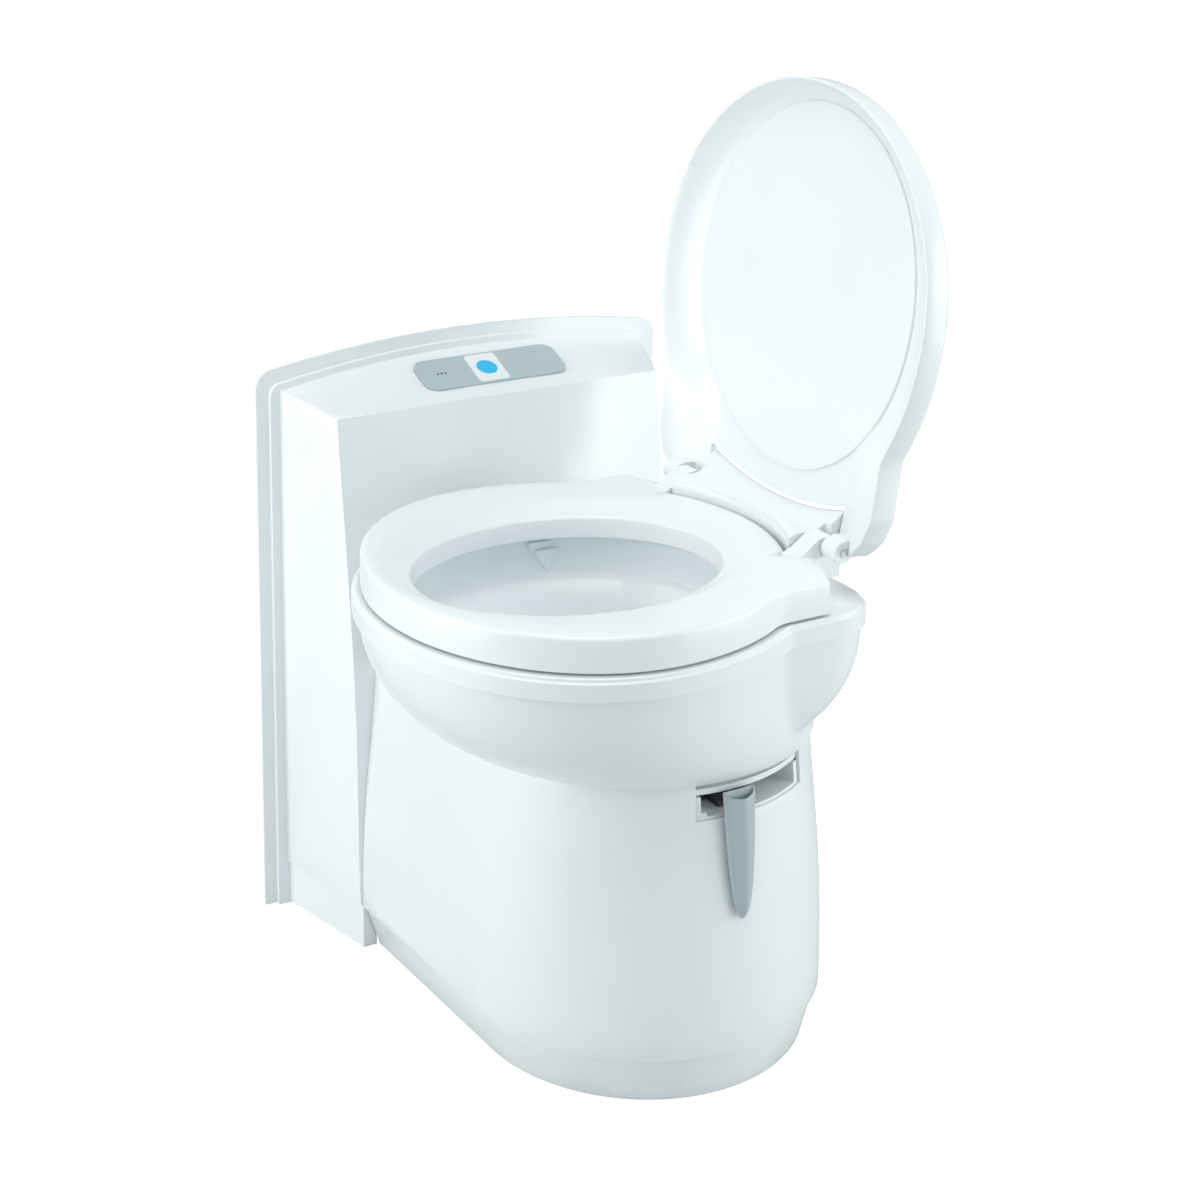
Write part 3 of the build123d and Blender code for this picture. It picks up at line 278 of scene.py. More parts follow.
def gradient(dist, x, y):
    e = 0.05
    gx = dist(x + e, y) - dist(x - e, y)
    gy = dist(x, y + e) - dist(x, y - e)
    size = math.hypot(gx, gy) or 1.0
    return gx / size, gy / size


def sheet_solid(name, dist, lo, hi, top, bottom, offsets, grid=11.0, edge=4.0, sharp=40.0, place=None):
    """Solid between two height fields over a plan, with rows of points that follow the plan's edge."""
    pts, fixed = [], []
    for loop in contour(dist, lo, hi, edge):
        ring = resample(loop, edge)
        first = len(pts)
        pts += ring
        fixed += [(first + i, first + (i + 1) % len(ring)) for i in range(len(ring))]
        for off in offsets:
            for i, (x, y) in enumerate(ring):
                if off > 5.0 and i % 2:
                    continue
                gx, gy = gradient(dist, x, y)
                px, py = x - gx * off, y - gy * off
                if abs(dist(px, py) + off) < 0.12 * off:
                    pts.append((px, py))
    inner = offsets[-1] + grid * 0.6
    for i in range(int((hi[0] - lo[0]) / grid)):
        for j in range(int((hi[1] - lo[1]) / grid)):
            x, y = lo[0] + (i + 0.5 * (j % 2)) * grid, lo[1] + j * grid
            if dist(x, y) < -inner:
                pts.append((x, y))
    flat, _, tris, _, _, _ = delaunay_2d_cdt([Vector(p) for p in pts], fixed, [], 0, 1e-4)
    kept = []
    for t in tris:
        cx = sum(flat[k].x for k in t) / 3.0
        cy = sum(flat[k].y for k in t) / 3.0
        if dist(cx, cy) < 0.0:
            kept.append(t)
    n = len(flat)
    verts = [(p.x, p.y, top(p.x, p.y)) for p in flat] + [(p.x, p.y, bottom(p.x, p.y)) for p in flat]
    faces = [tuple(t) for t in kept] + [tuple(k + n for k in reversed(t)) for t in kept]
    border = {}
    for t in kept:
        for a, b in ((t[0], t[1]), (t[1], t[2]), (t[2], t[0])):
            border[(a, b)] = 1
    for a, b in border:
        if (b, a) not in border:
            faces.append((b, a, a + n, b + n))
    used = sorted({k for f in faces for k in f})
    index = {k: i for i, k in enumerate(used)}
    verts = [verts[k] for k in used]
    faces = [tuple(index[k] for k in f) for f in faces]
    return make_object(name, verts, faces, sharp, place)


def round_over(d, radius):
    """How far a rounded edge has fallen at a distance d inside it."""
    if d >= radius:
        return 0.0
    d = max(d, 0.0)
    return radius - math.sqrt(max(radius * radius - (radius - d) ** 2, 0.0))


def prism_y(name, outline, y0, y1, bevel=1.0):
    """Outline in the XZ plane, extruded along Y, with a bevel modifier on its edges."""
    n = len(outline)
    verts = [(x, y, z) for y in (y0, y1) for x, z in outline]
    faces = [tuple(range(n)), tuple(range(2 * n - 1, n - 1, -1))]
    faces += [(i, (i + 1) % n, (i + 1) % n + n, i + n) for i in range(n)]
    obj = make_object(name, verts, faces, 35.0)
    soften(obj, bevel, 35.0)
    return obj


def soften(obj, width, angle=30.0, segments=3):
    mod = obj.modifiers.new("edge_radius", "BEVEL")
    mod.width = width * MM
    mod.segments = segments
    mod.limit_method = "ANGLE"
    mod.angle_limit = math.radians(angle)
    mod.harden_normals = True
    mod.use_clamp_overlap = True
    return mod


def soften_node(obj, width, angle=30.0, flat=0.6):
    """Rounds the edges of a carried-over CAD node with modifiers only."""
    weld = obj.modifiers.new("weld", "WELD")
    weld.merge_threshold = 0.00002
    plain = obj.modifiers.new("plain_faces", "DECIMATE")
    plain.decimate_type = "DISSOLVE"
    plain.angle_limit = math.radians(flat)
    soften(obj, width, angle)


# ---- materials ----------------------------------------------------------------------------------------
def new_material(name):
    mat = bpy.data.materials.new(name)
    mat.use_nodes = True
    tree = mat.node_tree
    shader = tree.nodes["Principled BSDF"]
    return mat, tree, shader


def noise(tree, scale, detail=3.0, stretch=None):
    coord = tree.nodes.new("ShaderNodeTexCoord")
    node = tree.nodes.new("ShaderNodeTexNoise")
    node.inputs["Scale"].default_value = scale
    node.inputs["Detail"].default_value = detail
    if stretch:
        mapping = tree.nodes.new("ShaderNodeMapping")
        mapping.inputs["Scale"].default_value = stretch
        tree.links.new(coord.outputs["Object"], mapping.inputs["Vector"])
        tree.links.new(mapping.outputs["Vector"], node.inputs["Vector"])
    else:
        tree.links.new(coord.outputs["Object"], node.inputs["Vector"])
    return node


def ramp(tree, source, low, high, start=0.35, end=0.65):
    node = tree.nodes.new("ShaderNodeValToRGB")
    node.color_ramp.elements[0].position = start
    node.color_ramp.elements[1].position = end
    node.color_ramp.elements[0].color = (*low, 1.0)
    node.color_ramp.elements[1].color = (*high, 1.0)
    tree.links.new(source, node.inputs["Fac"])
    return node


def add_bump(tree, shader, source, strength, distance):
    bump = tree.nodes.new("ShaderNodeBump")
    bump.inputs["Strength"].default_value = strength
    bump.inputs["Distance"].default_value = distance
    tree.links.new(source, bump.inputs["Height"])
    tree.links.new(bump.outputs["Normal"], shader.inputs["Normal"])


def plastic(name, colour, rough, grain=900.0, bump=0.04, coat=0.0, spread=0.012, tone=1.0):
    """Moulded plastic: a faint tone drift, a roughness drift and a very fine surface grain."""
    mat, tree, shader = new_material(name)
    drift = noise(tree, 5.0, 2.0)
    low = tuple(c * (1.0 - spread) for c in colour)
    high = tuple(min(c * (1.0 + spread * tone), 1.0) for c in colour)
    tint = ramp(tree, drift.outputs["Fac"], low, high)
    tree.links.new(tint.outputs["Color"], shader.inputs["Base Color"])
    fine = noise(tree, grain, 2.0)
    dull = ramp(tree, fine.outputs["Fac"], (rough - 0.03,) * 3, (rough + 0.03,) * 3, 0.3, 0.7)
    tree.links.new(dull.outputs["Color"], shader.inputs["Roughness"])
    shader.inputs["Coat Weight"].default_value = coat
    shader.inputs["Coat Roughness"].default_value = 0.12
    add_bump(tree, shader, fine.outputs["Fac"], bump, 0.0002)
    return mat


def brushed_steel(name):
    mat, tree, shader = new_material(name)
    streaks = noise(tree, 60.0, 4.0, (1.0, 1.0, 25.0))
    tint = ramp(tree, streaks.outputs["Fac"], (0.52, 0.53, 0.55), (0.72, 0.73, 0.74))
    tree.links.new(tint.outputs["Color"], shader.inputs["Base Color"])
    shader.inputs["Metallic"].default_value = 1.0
    dull = ramp(tree, streaks.outputs["Fac"], (0.24,) * 3, (0.38,) * 3)
    tree.links.new(dull.outputs["Color"], shader.inputs["Roughness"])
    add_bump(tree, shader, streaks.outputs["Fac"], 0.08, 0.0002)
    return mat


def speckled(name, low, high, rough, scale):
    """Coated or foamed material with visible specks."""
    mat, tree, shader = new_material(name)
    specks = noise(tree, scale, 6.0)
    tint = ramp(tree, specks.outputs["Fac"], low, high)
    tree.links.new(tint.outputs["Color"], shader.inputs["Base Color"])
    shader.inputs["Roughness"].default_value = rough
    add_bump(tree, shader, specks.outputs["Fac"], 0.25, 0.0005)
    return mat


WHITE = (0.85, 0.885, 0.895)
LOOKS = {
    "white_plastic": plastic("white_gloss_plastic", WHITE, 0.30, coat=0.25),
    "white_satin": plastic("white_satin_plastic", (0.85, 0.885, 0.895), 0.42, 700.0, 0.06),
    "grey_plastic": plastic("grey_satin_plastic", (0.43, 0.50, 0.52), 0.36, 600.0, 0.06, spread=0.03),
    "panel_grey": plastic("panel_grey_plastic", (0.45, 0.535, 0.56), 0.45, 1200.0, 0.08, spread=0.02),
    "button_blue": plastic("button_blue_plastic", (0.02, 0.50, 0.85), 0.25, 900.0, 0.03, 0.4, 0.03),
    "dark_plastic": plastic("dark_matt_plastic", (0.06, 0.065, 0.07), 0.55, 500.0, 0.1, spread=0.1),
    "basin_white": plastic("basin_gloss_plastic", (0.86, 0.90, 0.91), 0.34, 900.0, 0.02, 0.1),
    "steel": brushed_steel("brushed_steel"),
    "seal_rubber": plastic("seal_rubber", (0.02, 0.02, 0.02), 0.7, 400.0, 0.2, spread=0.2),
    "circuit_green": speckled("circuit_green_coat", (0.02, 0.14, 0.06), (0.05, 0.25, 0.12), 0.4, 250.0),
    "tank_grey": speckled("tank_blow_moulded", (0.52, 0.53, 0.53), (0.57, 0.58, 0.58), 0.48, 40.0),
    "lamp": plastic("lamp_lens", (0.10, 0.115, 0.125), 0.2, 900.0, 0.02, 0.5, 0.05),
    "hose_grey": plastic("hose_rubber", (0.12, 0.125, 0.13), 0.6, 300.0, 0.15, spread=0.15),
    "float_foam": speckled("float_foam", (0.65, 0.32, 0.03), (0.80, 0.45, 0.08), 0.75, 180.0),
}


# ---- bowl -----------------------------------------------------------------------------------------------
def bowl_rise(z, power):
    """Share of the way from the pedestal's circle to the full plan at height z."""
    t = clamp((z - BOWL_BOTTOM_Z) / (BAND_Z[0] - BOWL_BOTTOM_Z))
    return math.sin(math.pi / 2.0 * t ** power)


def bowl_plan(z, grow):
    """Plan of the bulbous body at height z: the egg joined to the hinge block."""
    k = bowl_rise(z, 0.70)
    q = bowl_rise(z, 0.57)
    dims = tuple(BOWL_BOTTOM_R + (v - 7.0 - BOWL_BOTTOM_R) * k + grow for v in RIM_EGG)
    half_w = 140.0 + 59.0 * q + grow
    rear_x = 130.0 + 45.5 * q + grow
    corner = 110.0 - 50.0 * q ** 1.7

    def dist(x, y):
        return join(egg(x, y, dims, 0.0, EGG_X * k), rounded_block(x, y, half_w, rear_x, corner), 1.5)
    return dist


def rim_plan(grow):
    def dist(x, y):
        block = rounded_block(x, y, BLOCK_HALF_W + grow, BLOCK_REAR_X + grow, 60.0)
        return join(egg(x, y, RIM_EGG, grow), block, 1.5)
    return dist


def egg_plan(dims, grow=0.0):
    def dist(x, y):
        return egg(x, y, dims, grow)
    return dist


def circle_plan(radius):
    def dist(x, y):
        return math.hypot(x, y) - radius
    return dist


def bowl_shell():
    """Outer bowl: base, bulge, rim band with a step, lip, and the inside down to the neck."""
    rings = []
    levels = 16
    z0, z1 = BOWL_BOTTOM_Z, BAND_Z[0]
    for i in range(levels + 1):
        z = z0 + (z1 - z0) * (i / levels) ** 1.5
        rings.append(polar_ring(z, bowl_plan(z, 0.0)))
    low, high = BAND_Z
    for z, grow in ((low, -0.8), (low + 0.8, 0.0), (high - 1.2, 0.0), (high, -1.2), (high + 0.3, -3.0)):
        rings.append(polar_ring(z, rim_plan(grow)))
    for z, grow in ((RIM_TOP_Z - 1.0, -3.2), (RIM_TOP_Z, -4.4)):
        rings.append(polar_ring(z, rim_plan(grow)))
    for z in (RIM_TOP_Z, 474.0):
        rings.append(polar_ring(z, egg_plan(LINER_EGG, 0.4)))
    for z in (472.0, 440.0, 405.0, 375.0, 358.0, BOWL_BOTTOM_Z + 5.0):
        rings.append(polar_ring(z, bowl_plan(z, -5.0)))
    rings.append(polar_ring(BOWL_BOTTOM_Z + 5.0, circle_plan(64.0)))
    rings.append(polar_ring(BOWL_BOTTOM_Z, circle_plan(64.0)))
    verts, faces = bridge_rings(rings, True)
    obj = make_object("bowl_outer_shell", verts, faces, 32.0)
    return finish_piece(obj, "bowl", LOOKS["white_plastic"], "white_plastic", "bowl_shell")


def basin():
    """Visible basin: lip, steep wall, rounded ledge, then a funnel to the outlet."""
    def level(z, dims, grow, centre=EGG_X):
        def dist(x, y):
            return egg(x, y, dims, grow, centre)
        return polar_ring(z, dist, centre=(0.0, 0.0))
    wall = (176.0, 160.0, 196.0)
    rings = [level(496.0, LINER_EGG, 0.0), level(RIM_TOP_Z - 1.0, LINER_EGG, 0.0)]
    rings += [level(RIM_TOP_Z, LINER_EGG, -1.2), level(RIM_TOP_Z, wall, 1.5), level(501.5, wall, 0.0)]
    for z, grow in ((490.0, -1.0), (475.0, -3.0), (463.0, -5.0), (459.5, -6.5), (457.5, -9.5), (456.0, -14.0)):
        rings.append(level(z, wall, grow))
    steps = 9
    for i in range(1, steps + 1):
        t = i / steps
        drop = 452.0 - 96.0 * t ** 0.9
        fall = (1.0 - t) ** 0.8
        dims = tuple(54.0 + (v - 22.0 - 54.0) * fall for v in wall)
        rings.append(level(drop, dims, 0.0, EGG_X * fall))
    rings.append(level(354.0, (58.0, 58.0, 58.0), 0.0, 0.0))
    for i in range(steps, -1, -3):
        t = i / steps
        fall = (1.0 - t) ** 0.8
        dims = tuple(62.0 + (v - 8.0 - 62.0) * fall for v in wall)
        rings.append(level(450.0 - 93.0 * t ** 0.9, dims, 0.0, EGG_X * fall))
    rings.append(level(462.0, wall, 3.0))
    verts, faces = bridge_rings(rings, True)
    obj = make_object("basin_inlay", verts, faces, 38.0)
    return finish_piece(obj, "bowl", LOOKS["basin_white"], "basin_white", "bowl_liner")


def cover_front(y, inset=0.0):
    """Front edge of the hinge cover: a shallow arc that is hollow towards the seat."""
    return 114.0 + inset + 28.0 * (1.0 - (y / COVER_HALF_W) ** 2)


def hinge_cover():
    """Saddle-shaped cover over the hinge pins, with its front edge rolled down."""
    def dist(x, y):
        middle = max(cover_front(y) - x, abs(y) - COVER_HALF_W)
        horns = max(COVER_HORN_X - x, abs(y) - COVER_HORN_Y)
        return max(min(middle, horns), x - COVER_REAR_X)

    def top(x, y):
        spread = (y / COVER_HALF_W) ** 2
        lift = 558.0 + 3.0 * min(spread, 1.0)
        rise = smooth((x - 146.0) / (COVER_REAR_X - 146.0)) * (4.5 + 12.5 * spread)
        return lift + rise - round_over(x - cover_front(y), 9.0) * 0.9 - round_over(COVER_REAR_X - x, 3.0)

    def bottom(x, y):
        return 548.0 if x - cover_front(y) < 0.4 else 551.0
    obj = sheet_solid("hinge_cover_saddle", dist, (100, -148), (194, 148), top, bottom,
                      (0.7, 1.8, 3.5, 6.0, 9.0), 8.0, 3.0, 45.0)
    return finish_piece(obj, "bowl", LOOKS["white_plastic"], "white_plastic", "hinge_cover")


# ---- seat -----------------------------------------------------------------------------------------------
ARM_PTS = ((-40, 120), (-40, 190), (36, ARM_HALF_W), (104, ARM_HALF_W), (131, KNUCKLE_Y[1] + 3),
           (133, KNUCKLE_Y[1]), (133, KNUCKLE_Y[0]), (100, KNUCKLE_Y[0] - 10))


def seat_dist(x, y):
    """Plan of the seat: ring, two hinge arms, less the opening and the hinge cover."""
    body = join(egg(x, y, SEAT_EGG), polygon(x, abs(y), ARM_PTS), 6.0)
    cover = max(cover_front(y, -3.0) - x, abs(y) - COVER_HALF_W - 3.0)
    deck = max(139.0 - x, abs(y) - KNUCKLE_Y[0])
    return max(body, -min(cover, deck), -egg(x, y, OPENING_EGG))


def seat_outer(x, y):
    return join(egg(x, y, SEAT_EGG), polygon(x, abs(y), ARM_PTS), 6.0)


def seat_top(x, y):
    """Crowned ring: rolled outer edge, a soft crease, then a slope into the opening."""
    low, high = SEAT_Z
    outer = -seat_outer(x, y)
    hole = egg(x, y, OPENING_EGG)
    edge = round_over(outer, 5.0) + 3.0 * (1.0 - smooth(outer / 24.0))
    slope = 15.0 * (1.0 - smooth(hole / 36.0)) + round_over(hole, 5.0) * 0.7
    back = 0.0
    if abs(y) < COVER_HALF_W + 4.0:
        back = round_over(cover_front(y, -3.0) - x, 7.0) * 0.8
    return high - edge - slope - back


def seat():
    low, high = SEAT_Z
    bottom = lambda x, y: low
    obj = sheet_solid("seat_ring", seat_dist, (-320, -256), (160, 256), seat_top, bottom,
                      (0.6, 1.6, 3.4, 6.0, 9.5, 13.5, 20.0), 10.0, 4.0, 42.0)
    soften(obj, 1.0, 50.0, 2)
    finish_piece(obj, "seat", LOOKS["white_plastic"], "white_plastic", "seat")
    hook = [(104, 530), (104, 544), (116, 549), (126, 556), (134, 561.3)]
    for i in range(15):
        ang = math.radians(105.0 - 15.0 * i)
        hook.append((HINGE_X + 11.2 * math.cos(ang), HINGE_Z + 11.2 * math.sin(ang)))
    hook += [(132, 540), (131, 524)]
    for side, y0, y1 in (("near", -KNUCKLE_Y[1], -KNUCKLE_Y[0]), ("far", KNUCKLE_Y[0], KNUCKLE_Y[1])):
        hinge = prism_y("seat_knuckle_" + side, hook, y0, y1, 1.2)
        finish_piece(hinge, "seat", LOOKS["white_plastic"], "white_plastic")


# ---- lid ------------------------------------------------------------------------------------------------
def open_place():
    """Turns a closed-lid shape about the hinge axis to the open rest pose, in metres."""
    pivot = Vector((HINGE_X, 0.0, HINGE_Z)) * MM
    turn = Matrix.Rotation(LID_OPEN, 4, "Y")
    return Matrix.Translation(pivot) @ turn @ Matrix.Translation(-pivot)


LEG_PTS = ((-40, -10), (-40, LEG_HALF_W - 12), (30, LEG_HALF_W), (105, LEG_HALF_W - 2),
           (130, LEG_HALF_W - 12), (150, LEG_HALF_W - 32), (150, -10))


def lid_outer(x, y):
    return join(egg(x, y, LID_EGG, 0.0, LID_X), polygon(x, abs(y), LEG_PTS), 5.0)


def gap_front(y):
    """Lower edge of the lid between its legs, bulging towards the hinge cover."""
    return HINGE_X - 19.0 - 20.0 * (y / GAP_HALF_W) ** 2


def lid_dist(x, y):
    gap = max(gap_front(y) - x, abs(y) - GAP_HALF_W)
    return max(lid_outer(x, y), -gap)


def lid_back(x, y):
    """Rounded back face, closing in slightly towards the tip."""
    edge = round_over(-lid_outer(x, y), 10.0)
    gap = max(gap_front(y) - x, abs(y) - GAP_HALF_W)
    return LID_PLANE_Z + LID_DEPTH - LID_SLANT * (HINGE_X - x) - edge - round_over(gap, 4.0)


def oval(x, y, grow=0.0):
    return ellipse(x - OVAL[0], y, OVAL[1] + grow, OVAL[2] + grow)


def lid_inside(x, y):
    """Face towards the seat: skirt edge, a hollow slope, then the flat floor under the oval panel."""
    side = -min(egg(x, y, LID_EGG, 0.0, LID_X), max(-20.0 - x, abs(y) - LEG_HALF_W))
    side = max(side - 3.0, 0.0)
    over = max(oval(x, y, 2.0), 0.0)
    share = side / (side + over) if side + over > 0 else 0.0
    floor = LID_DEPTH - LID_SLANT * (HINGE_X - x) - LID_BACK
    hollow = 1.0 - (1.0 - share) ** 1.9
    leg = smooth((abs(y) - 118.0) / 76.0) * smooth((x - 10.0) / 70.0)
    return LID_PLANE_Z + floor * hollow * (1.0 - leg) + round_over(-lid_dist(x, y), 1.5)


def lid():
    place = open_place()
    obj = sheet_solid("lid_shell_moulding", lid_dist, (-350, -256), (166, 256), lid_back, lid_inside,
                      (0.6, 1.6, 3.2, 5.5, 8.0, 11.0, 15.0), 9.0, 4.0, 42.0, place)
    finish_piece(obj, "lid", LOOKS["white_plastic"], "white_plastic", "lid_shell")

    def floor(x, y):
        return LID_PLANE_Z + LID_DEPTH - LID_SLANT * (HINGE_X - x) - LID_BACK

    def proud(x, y):
        return floor(x, y) - 3.0 + round_over(-oval(x, y), 2.5)

    def behind(x, y):
        return floor(x, y) - 0.2
    obj = sheet_solid("lid_oval_panel", oval, (-312, -190), (102, 190), behind, proud,
                      (0.5, 1.2, 2.6, 5.0), 14.0, 4.0, 45.0, place)
    finish_piece(obj, "lid", LOOKS["white_satin"], "white_satin", "lid_panel")
    knuckle = []
    for i in range(17):
        ang = math.radians(60.0 - 15.0 * i)
        knuckle.append((HINGE_X + 12.0 * math.cos(ang), HINGE_Z + 12.0 * math.sin(ang)))
    knuckle += [(HINGE_X - 14, HINGE_Z + 2), (HINGE_X - 14, HINGE_Z + 26), (HINGE_X - 1, HINGE_Z + 26)]
    for side, y0, y1 in (("near", -163.0, -139.0), ("far", 139.0, 163.0)):
        hinge = prism_y("lid_knuckle_" + side, knuckle, y0, y1, 1.0)
        hinge.data.transform(place)
        finish_piece(hinge, "lid", LOOKS["white_plastic"], "white_plastic")


# ---- valve lever ----------------------------------------------------------------------------------------
def lever_ring(z, half_w, depth, lean, count=36):
    """Section of the lever: flat back and curved cheeks with a soft ridge. Its top dips to the front."""
    back_y = -(LEVER_Y + lean)
    dip = 7.0 * clamp((z - 296.0) / 40.0)
    ring = []
    for i in range(count):
        u = i / count
        if u < 0.3:
            x = -half_w + 2.0 * half_w * u / 0.3
            ring.append((x, back_y, z))
        else:
            t = (u - 0.3) / 0.7
            x = half_w * math.cos(math.pi * t)
            bow = math.sin(math.pi * t) ** 0.72
            crest = math.exp(-((x - 0.1 * half_w) / (half_w * 0.36)) ** 2)
            ring.append((x, back_y - depth * (0.80 + 0.20 * crest) * bow, z - dip * bow))
    return ring


def valve_lever():
    def size(z):
        t = clamp((336.0 - z) / 136.0)
        half_w = 19.0 - 5.0 * t - 6.0 * t ** 3 - 3.0 * t ** 9
        depth = 12.5 - 3.0 * t - 5.0 * t ** 8
        return half_w, depth, 12.5 * t
    rings = []
    steps = 22
    for i in range(steps + 1):
        z = 200.0 + 134.5 * (1.0 - (1.0 - i / steps) ** 1.3)
        half_w, depth, lean = size(z)
        if i == 0:
            half_w, depth = half_w * 0.55, depth * 0.5
        rings.append(lever_ring(z, half_w, depth, lean))
    for z, cut in ((335.6, 0.4), (336.0, 1.4), (335.6, 2.4), (333.0, 2.8), (315.0, 3.0), (292.0, 3.4)):
        half_w, depth, lean = size(z)
        rings.append(lever_ring(z, half_w - cut, depth - 1.5 * cut, lean + 0.6 * cut))
    verts, faces = bridge_rings(rings, False)
    obj = make_object("valve_lever_handle", verts, faces, 38.0)
    finish_piece(obj, "lever", LOOKS["grey_plastic"], "grey_plastic", "valve_lever")


# ---- carried-over CAD nodes -------------------------------------------------------------------------------
EDGE_RADIUS = {
    "wall_flange": 1.6, "console_housing": 2.6, "console_plinth": 1.0, "pedestal_shell": 1.2,
    "toe_plinth": 1.2, "control_panel": 0.5, "button_plate": 0.5, "slot_trim": 0.4,
    "swivel_deck": 0.5, "hinge_bridge": 1.0,
}


def dress_nodes():
    """Gives every carried-over CAD node its slot's material, and softens the edges that show."""
    record = frame["record"]
    slots = {}
    for part in record["subparts"]:
        slots[part["node"]] = part["material_slot"]
    for name, obj in frame["nodes"].items():
        look = LOOKS[slots[name]]
        obj.data.materials.clear()
        obj.data.materials.append(look)
        radius = EDGE_RADIUS.get(name, 0.0)
        if radius:
            soften_node(obj, radius)


# ---- flush nozzle -------------------------------------------------------------------------------------------
def flush_nozzle():
    """Spout block in the basin wall: a shaded mouth with a tapering deflector below it."""
    x, y, z = NOZZLE_AT
    wedge = [(x - 24, z + 6), (x + 22, z + 6), (x + 21, z - 5), (x + 7, z - 26), (x - 6, z - 26), (x - 20, z - 5)]
    deflector = prism_y("nozzle_deflector", wedge, y, y + 26.0, 1.6)
    finish_piece(deflector, "bowl", LOOKS["basin_white"], "basin_white", "flush_nozzle")
    mouth = [(x - 30, z + 15), (x + 24, z + 15), (x + 24, z + 6), (x - 30, z + 6)]
    inlet = prism_y("nozzle_inlet", mouth, y + 4.0, y + 22.0, 1.2)
    finish_piece(inlet, "bowl", LOOKS["basin_white"], "basin_white")


# ---- studio -------------------------------------------------------------------------------------------------
CAMERA_AT = Vector((-1.2743, -1.9796, 1.3862))
CAMERA_AXES = ((0.8763, -0.4818, 0.0), (0.0878, 0.1597, 0.9833), (-0.4737, -0.8616, 0.1822))
CAMERA_LENS = 68.94
CAMERA_SHIFT = (0.0936, -0.3636)


def camera():
    data = bpy.data.cameras.new("camera")
    data.lens = CAMERA_LENS
    data.sensor_width = 36.0
    data.clip_end = 100.0
    cam = bpy.data.objects.new("camera", data)
    bpy.context.scene.collection.objects.link(cam)
    turn = Matrix(CAMERA_AXES).transposed().to_4x4()
    cam.matrix_world = Matrix.Translation(CAMERA_AT) @ turn
    data.shift_x, data.shift_y = CAMERA_SHIFT
    bpy.context.scene.camera = cam
    for channel, value in (("shift_x", CAMERA_SHIFT[0]), ("shift_y", CAMERA_SHIFT[1])):
        driver = data.driver_add(channel).driver
        driver.type = "SCRIPTED"
        for axis, letter in (("LOC_X", "x"), ("LOC_Y", "y")):
            var = driver.variables.new()
            var.name = letter
            var.type = "TRANSFORMS"
            var.targets[0].id = cam
            var.targets[0].transform_type = axis
            var.targets[0].transform_space = "WORLD_SPACE"
        near = "abs(x - (%.4f)) < 0.002 and abs(y - (%.4f)) < 0.002" % (CAMERA_AT.x, CAMERA_AT.y)
        driver.expression = "%.4f if %s else 0.0" % (value, near)


def area_light(name, place, aim, size, power, colour=(1.0, 1.0, 1.0)):
    data = bpy.data.lights.new(name, "AREA")
    data.shape = "DISK"
    data.size = size
    data.energy = power
    data.color = colour
    lamp = bpy.data.objects.new(name, data)
    bpy.context.scene.collection.objects.link(lamp)
    lamp.location = place
    lamp.rotation_euler = (Vector(place) - Vector(aim)).to_track_quat("Z", "Y").to_euler()


def camera_only_white(tree, shade, strength):
    """Mixes shade with plain white that only the camera sees, so that it adds no light."""
    path = tree.nodes.new("ShaderNodeLightPath")
    white = tree.nodes.new("ShaderNodeEmission" if shade.node.type == "BSDF_PRINCIPLED" else "ShaderNodeBackground")
    white.inputs["Color"].default_value = (1.0, 1.0, 1.0, 1.0)
    white.inputs["Strength"].default_value = strength
    mix = tree.nodes.new("ShaderNodeMixShader")
    tree.links.new(path.outputs["Is Camera Ray"], mix.inputs["Fac"])
    tree.links.new(shade, mix.inputs[1])
    tree.links.new(white.outputs[0], mix.inputs[2])
    return mix


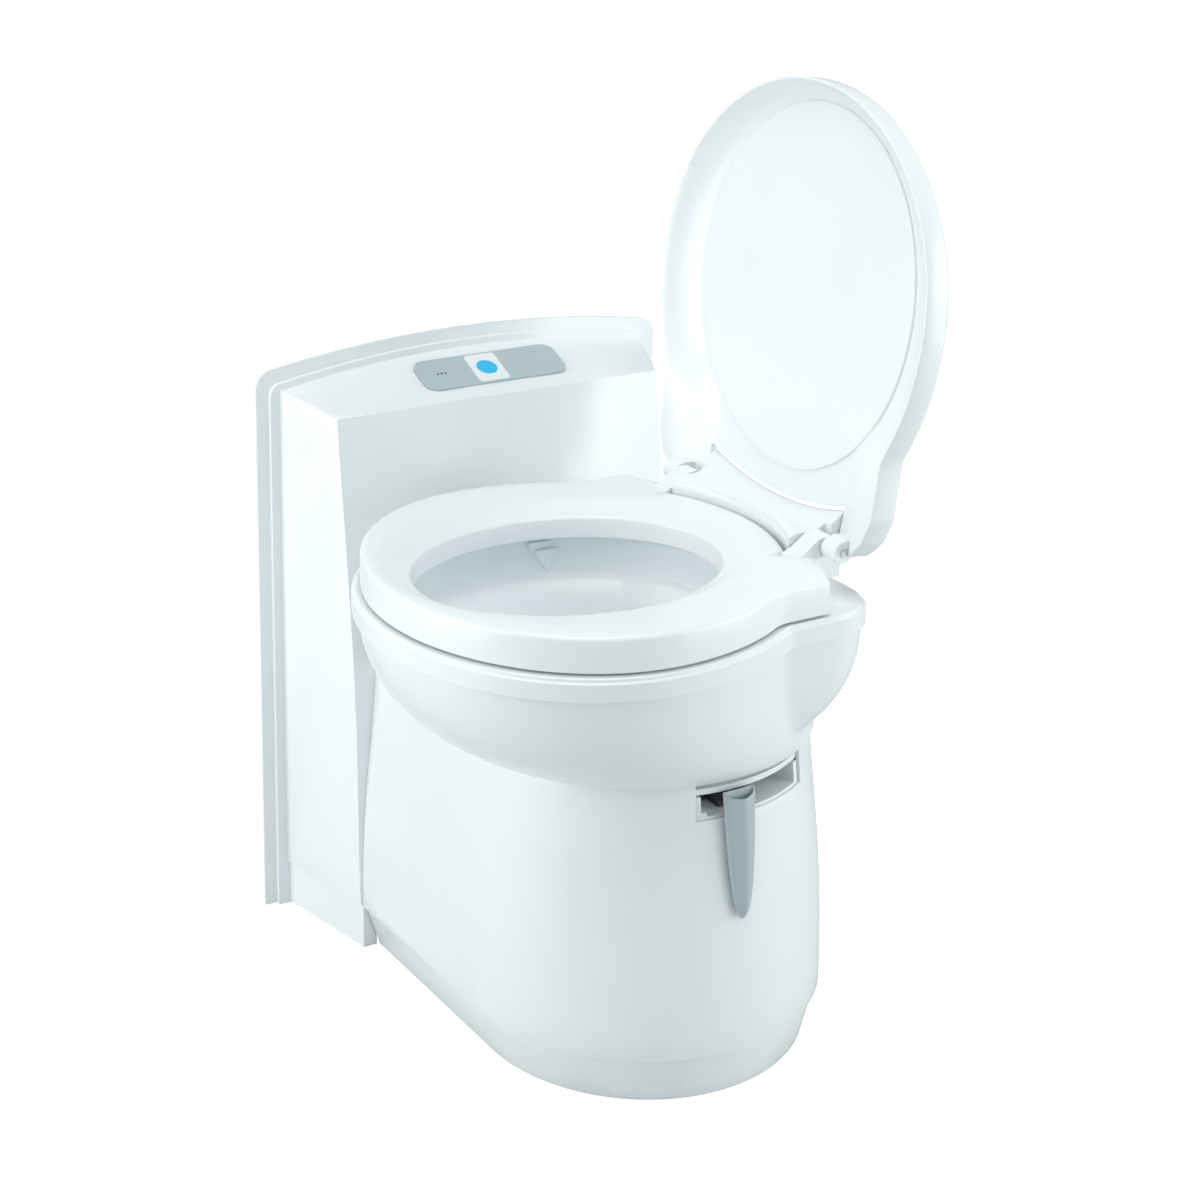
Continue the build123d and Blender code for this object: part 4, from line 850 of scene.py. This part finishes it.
def studio():
    """Pale floor, white surroundings and large soft lamps to the left, right and above."""
    size = 14.0
    mesh = bpy.data.meshes.new("floor")
    corners = ((-size, -size), (size, -size), (size, size), (-size, size))
    mesh.from_pydata([(x, y, -0.0005) for x, y in corners], [], [(0, 1, 2, 3)])
    floor = bpy.data.objects.new("floor", mesh)
    bpy.context.scene.collection.objects.link(floor)
    mat, tree, shader = new_material("pale_floor")
    shader.inputs["Base Color"].default_value = (0.58, 0.60, 0.61, 1.0)
    shader.inputs["Roughness"].default_value = 0.9
    half = tree.nodes.new("ShaderNodeEmission")
    half.inputs["Strength"].default_value = 0.86
    add = tree.nodes.new("ShaderNodeAddShader")
    tree.links.new(shader.outputs[0], add.inputs[0])
    tree.links.new(half.outputs[0], add.inputs[1])
    path = tree.nodes.new("ShaderNodeLightPath")
    mix = tree.nodes.new("ShaderNodeMixShader")
    tree.links.new(path.outputs["Is Camera Ray"], mix.inputs["Fac"])
    tree.links.new(shader.outputs[0], mix.inputs[1])
    tree.links.new(add.outputs[0], mix.inputs[2])
    tree.links.new(mix.outputs[0], tree.nodes["Material Output"].inputs["Surface"])
    mesh.materials.append(mat)
    world = bpy.data.worlds.new("studio")
    world.use_nodes = True
    tree = world.node_tree
    back = tree.nodes["Background"]
    back.inputs["Color"].default_value = (0.87, 0.97, 1.0, 1.0)
    back.inputs["Strength"].default_value = 0.50
    mix = camera_only_white(tree, back.outputs[0], 1.0)
    tree.links.new(mix.outputs[0], tree.nodes["World Output"].inputs["Surface"])
    bpy.context.scene.world = world
    area_light("left", (-2.3, 0.4, 0.8), (0.0, 0.1, 0.3), 2.2, 34.0)
    area_light("right", (1.9, -1.7, 0.6), (0.0, 0.0, 0.2), 2.4, 42.0)
    area_light("top", (-0.3, -0.3, 2.7), (0.0, 0.0, 0.4), 2.0, 22.0)
    bpy.context.scene.view_settings.view_transform = "Standard"
    bpy.context.scene.view_settings.look = "None"


# ---- build ----------------------------------------------------------------------------------------------------
dress_nodes()
bowl_shell()
basin()
hinge_cover()
flush_nozzle()
seat()
lid()
valve_lever()
studio()
camera()
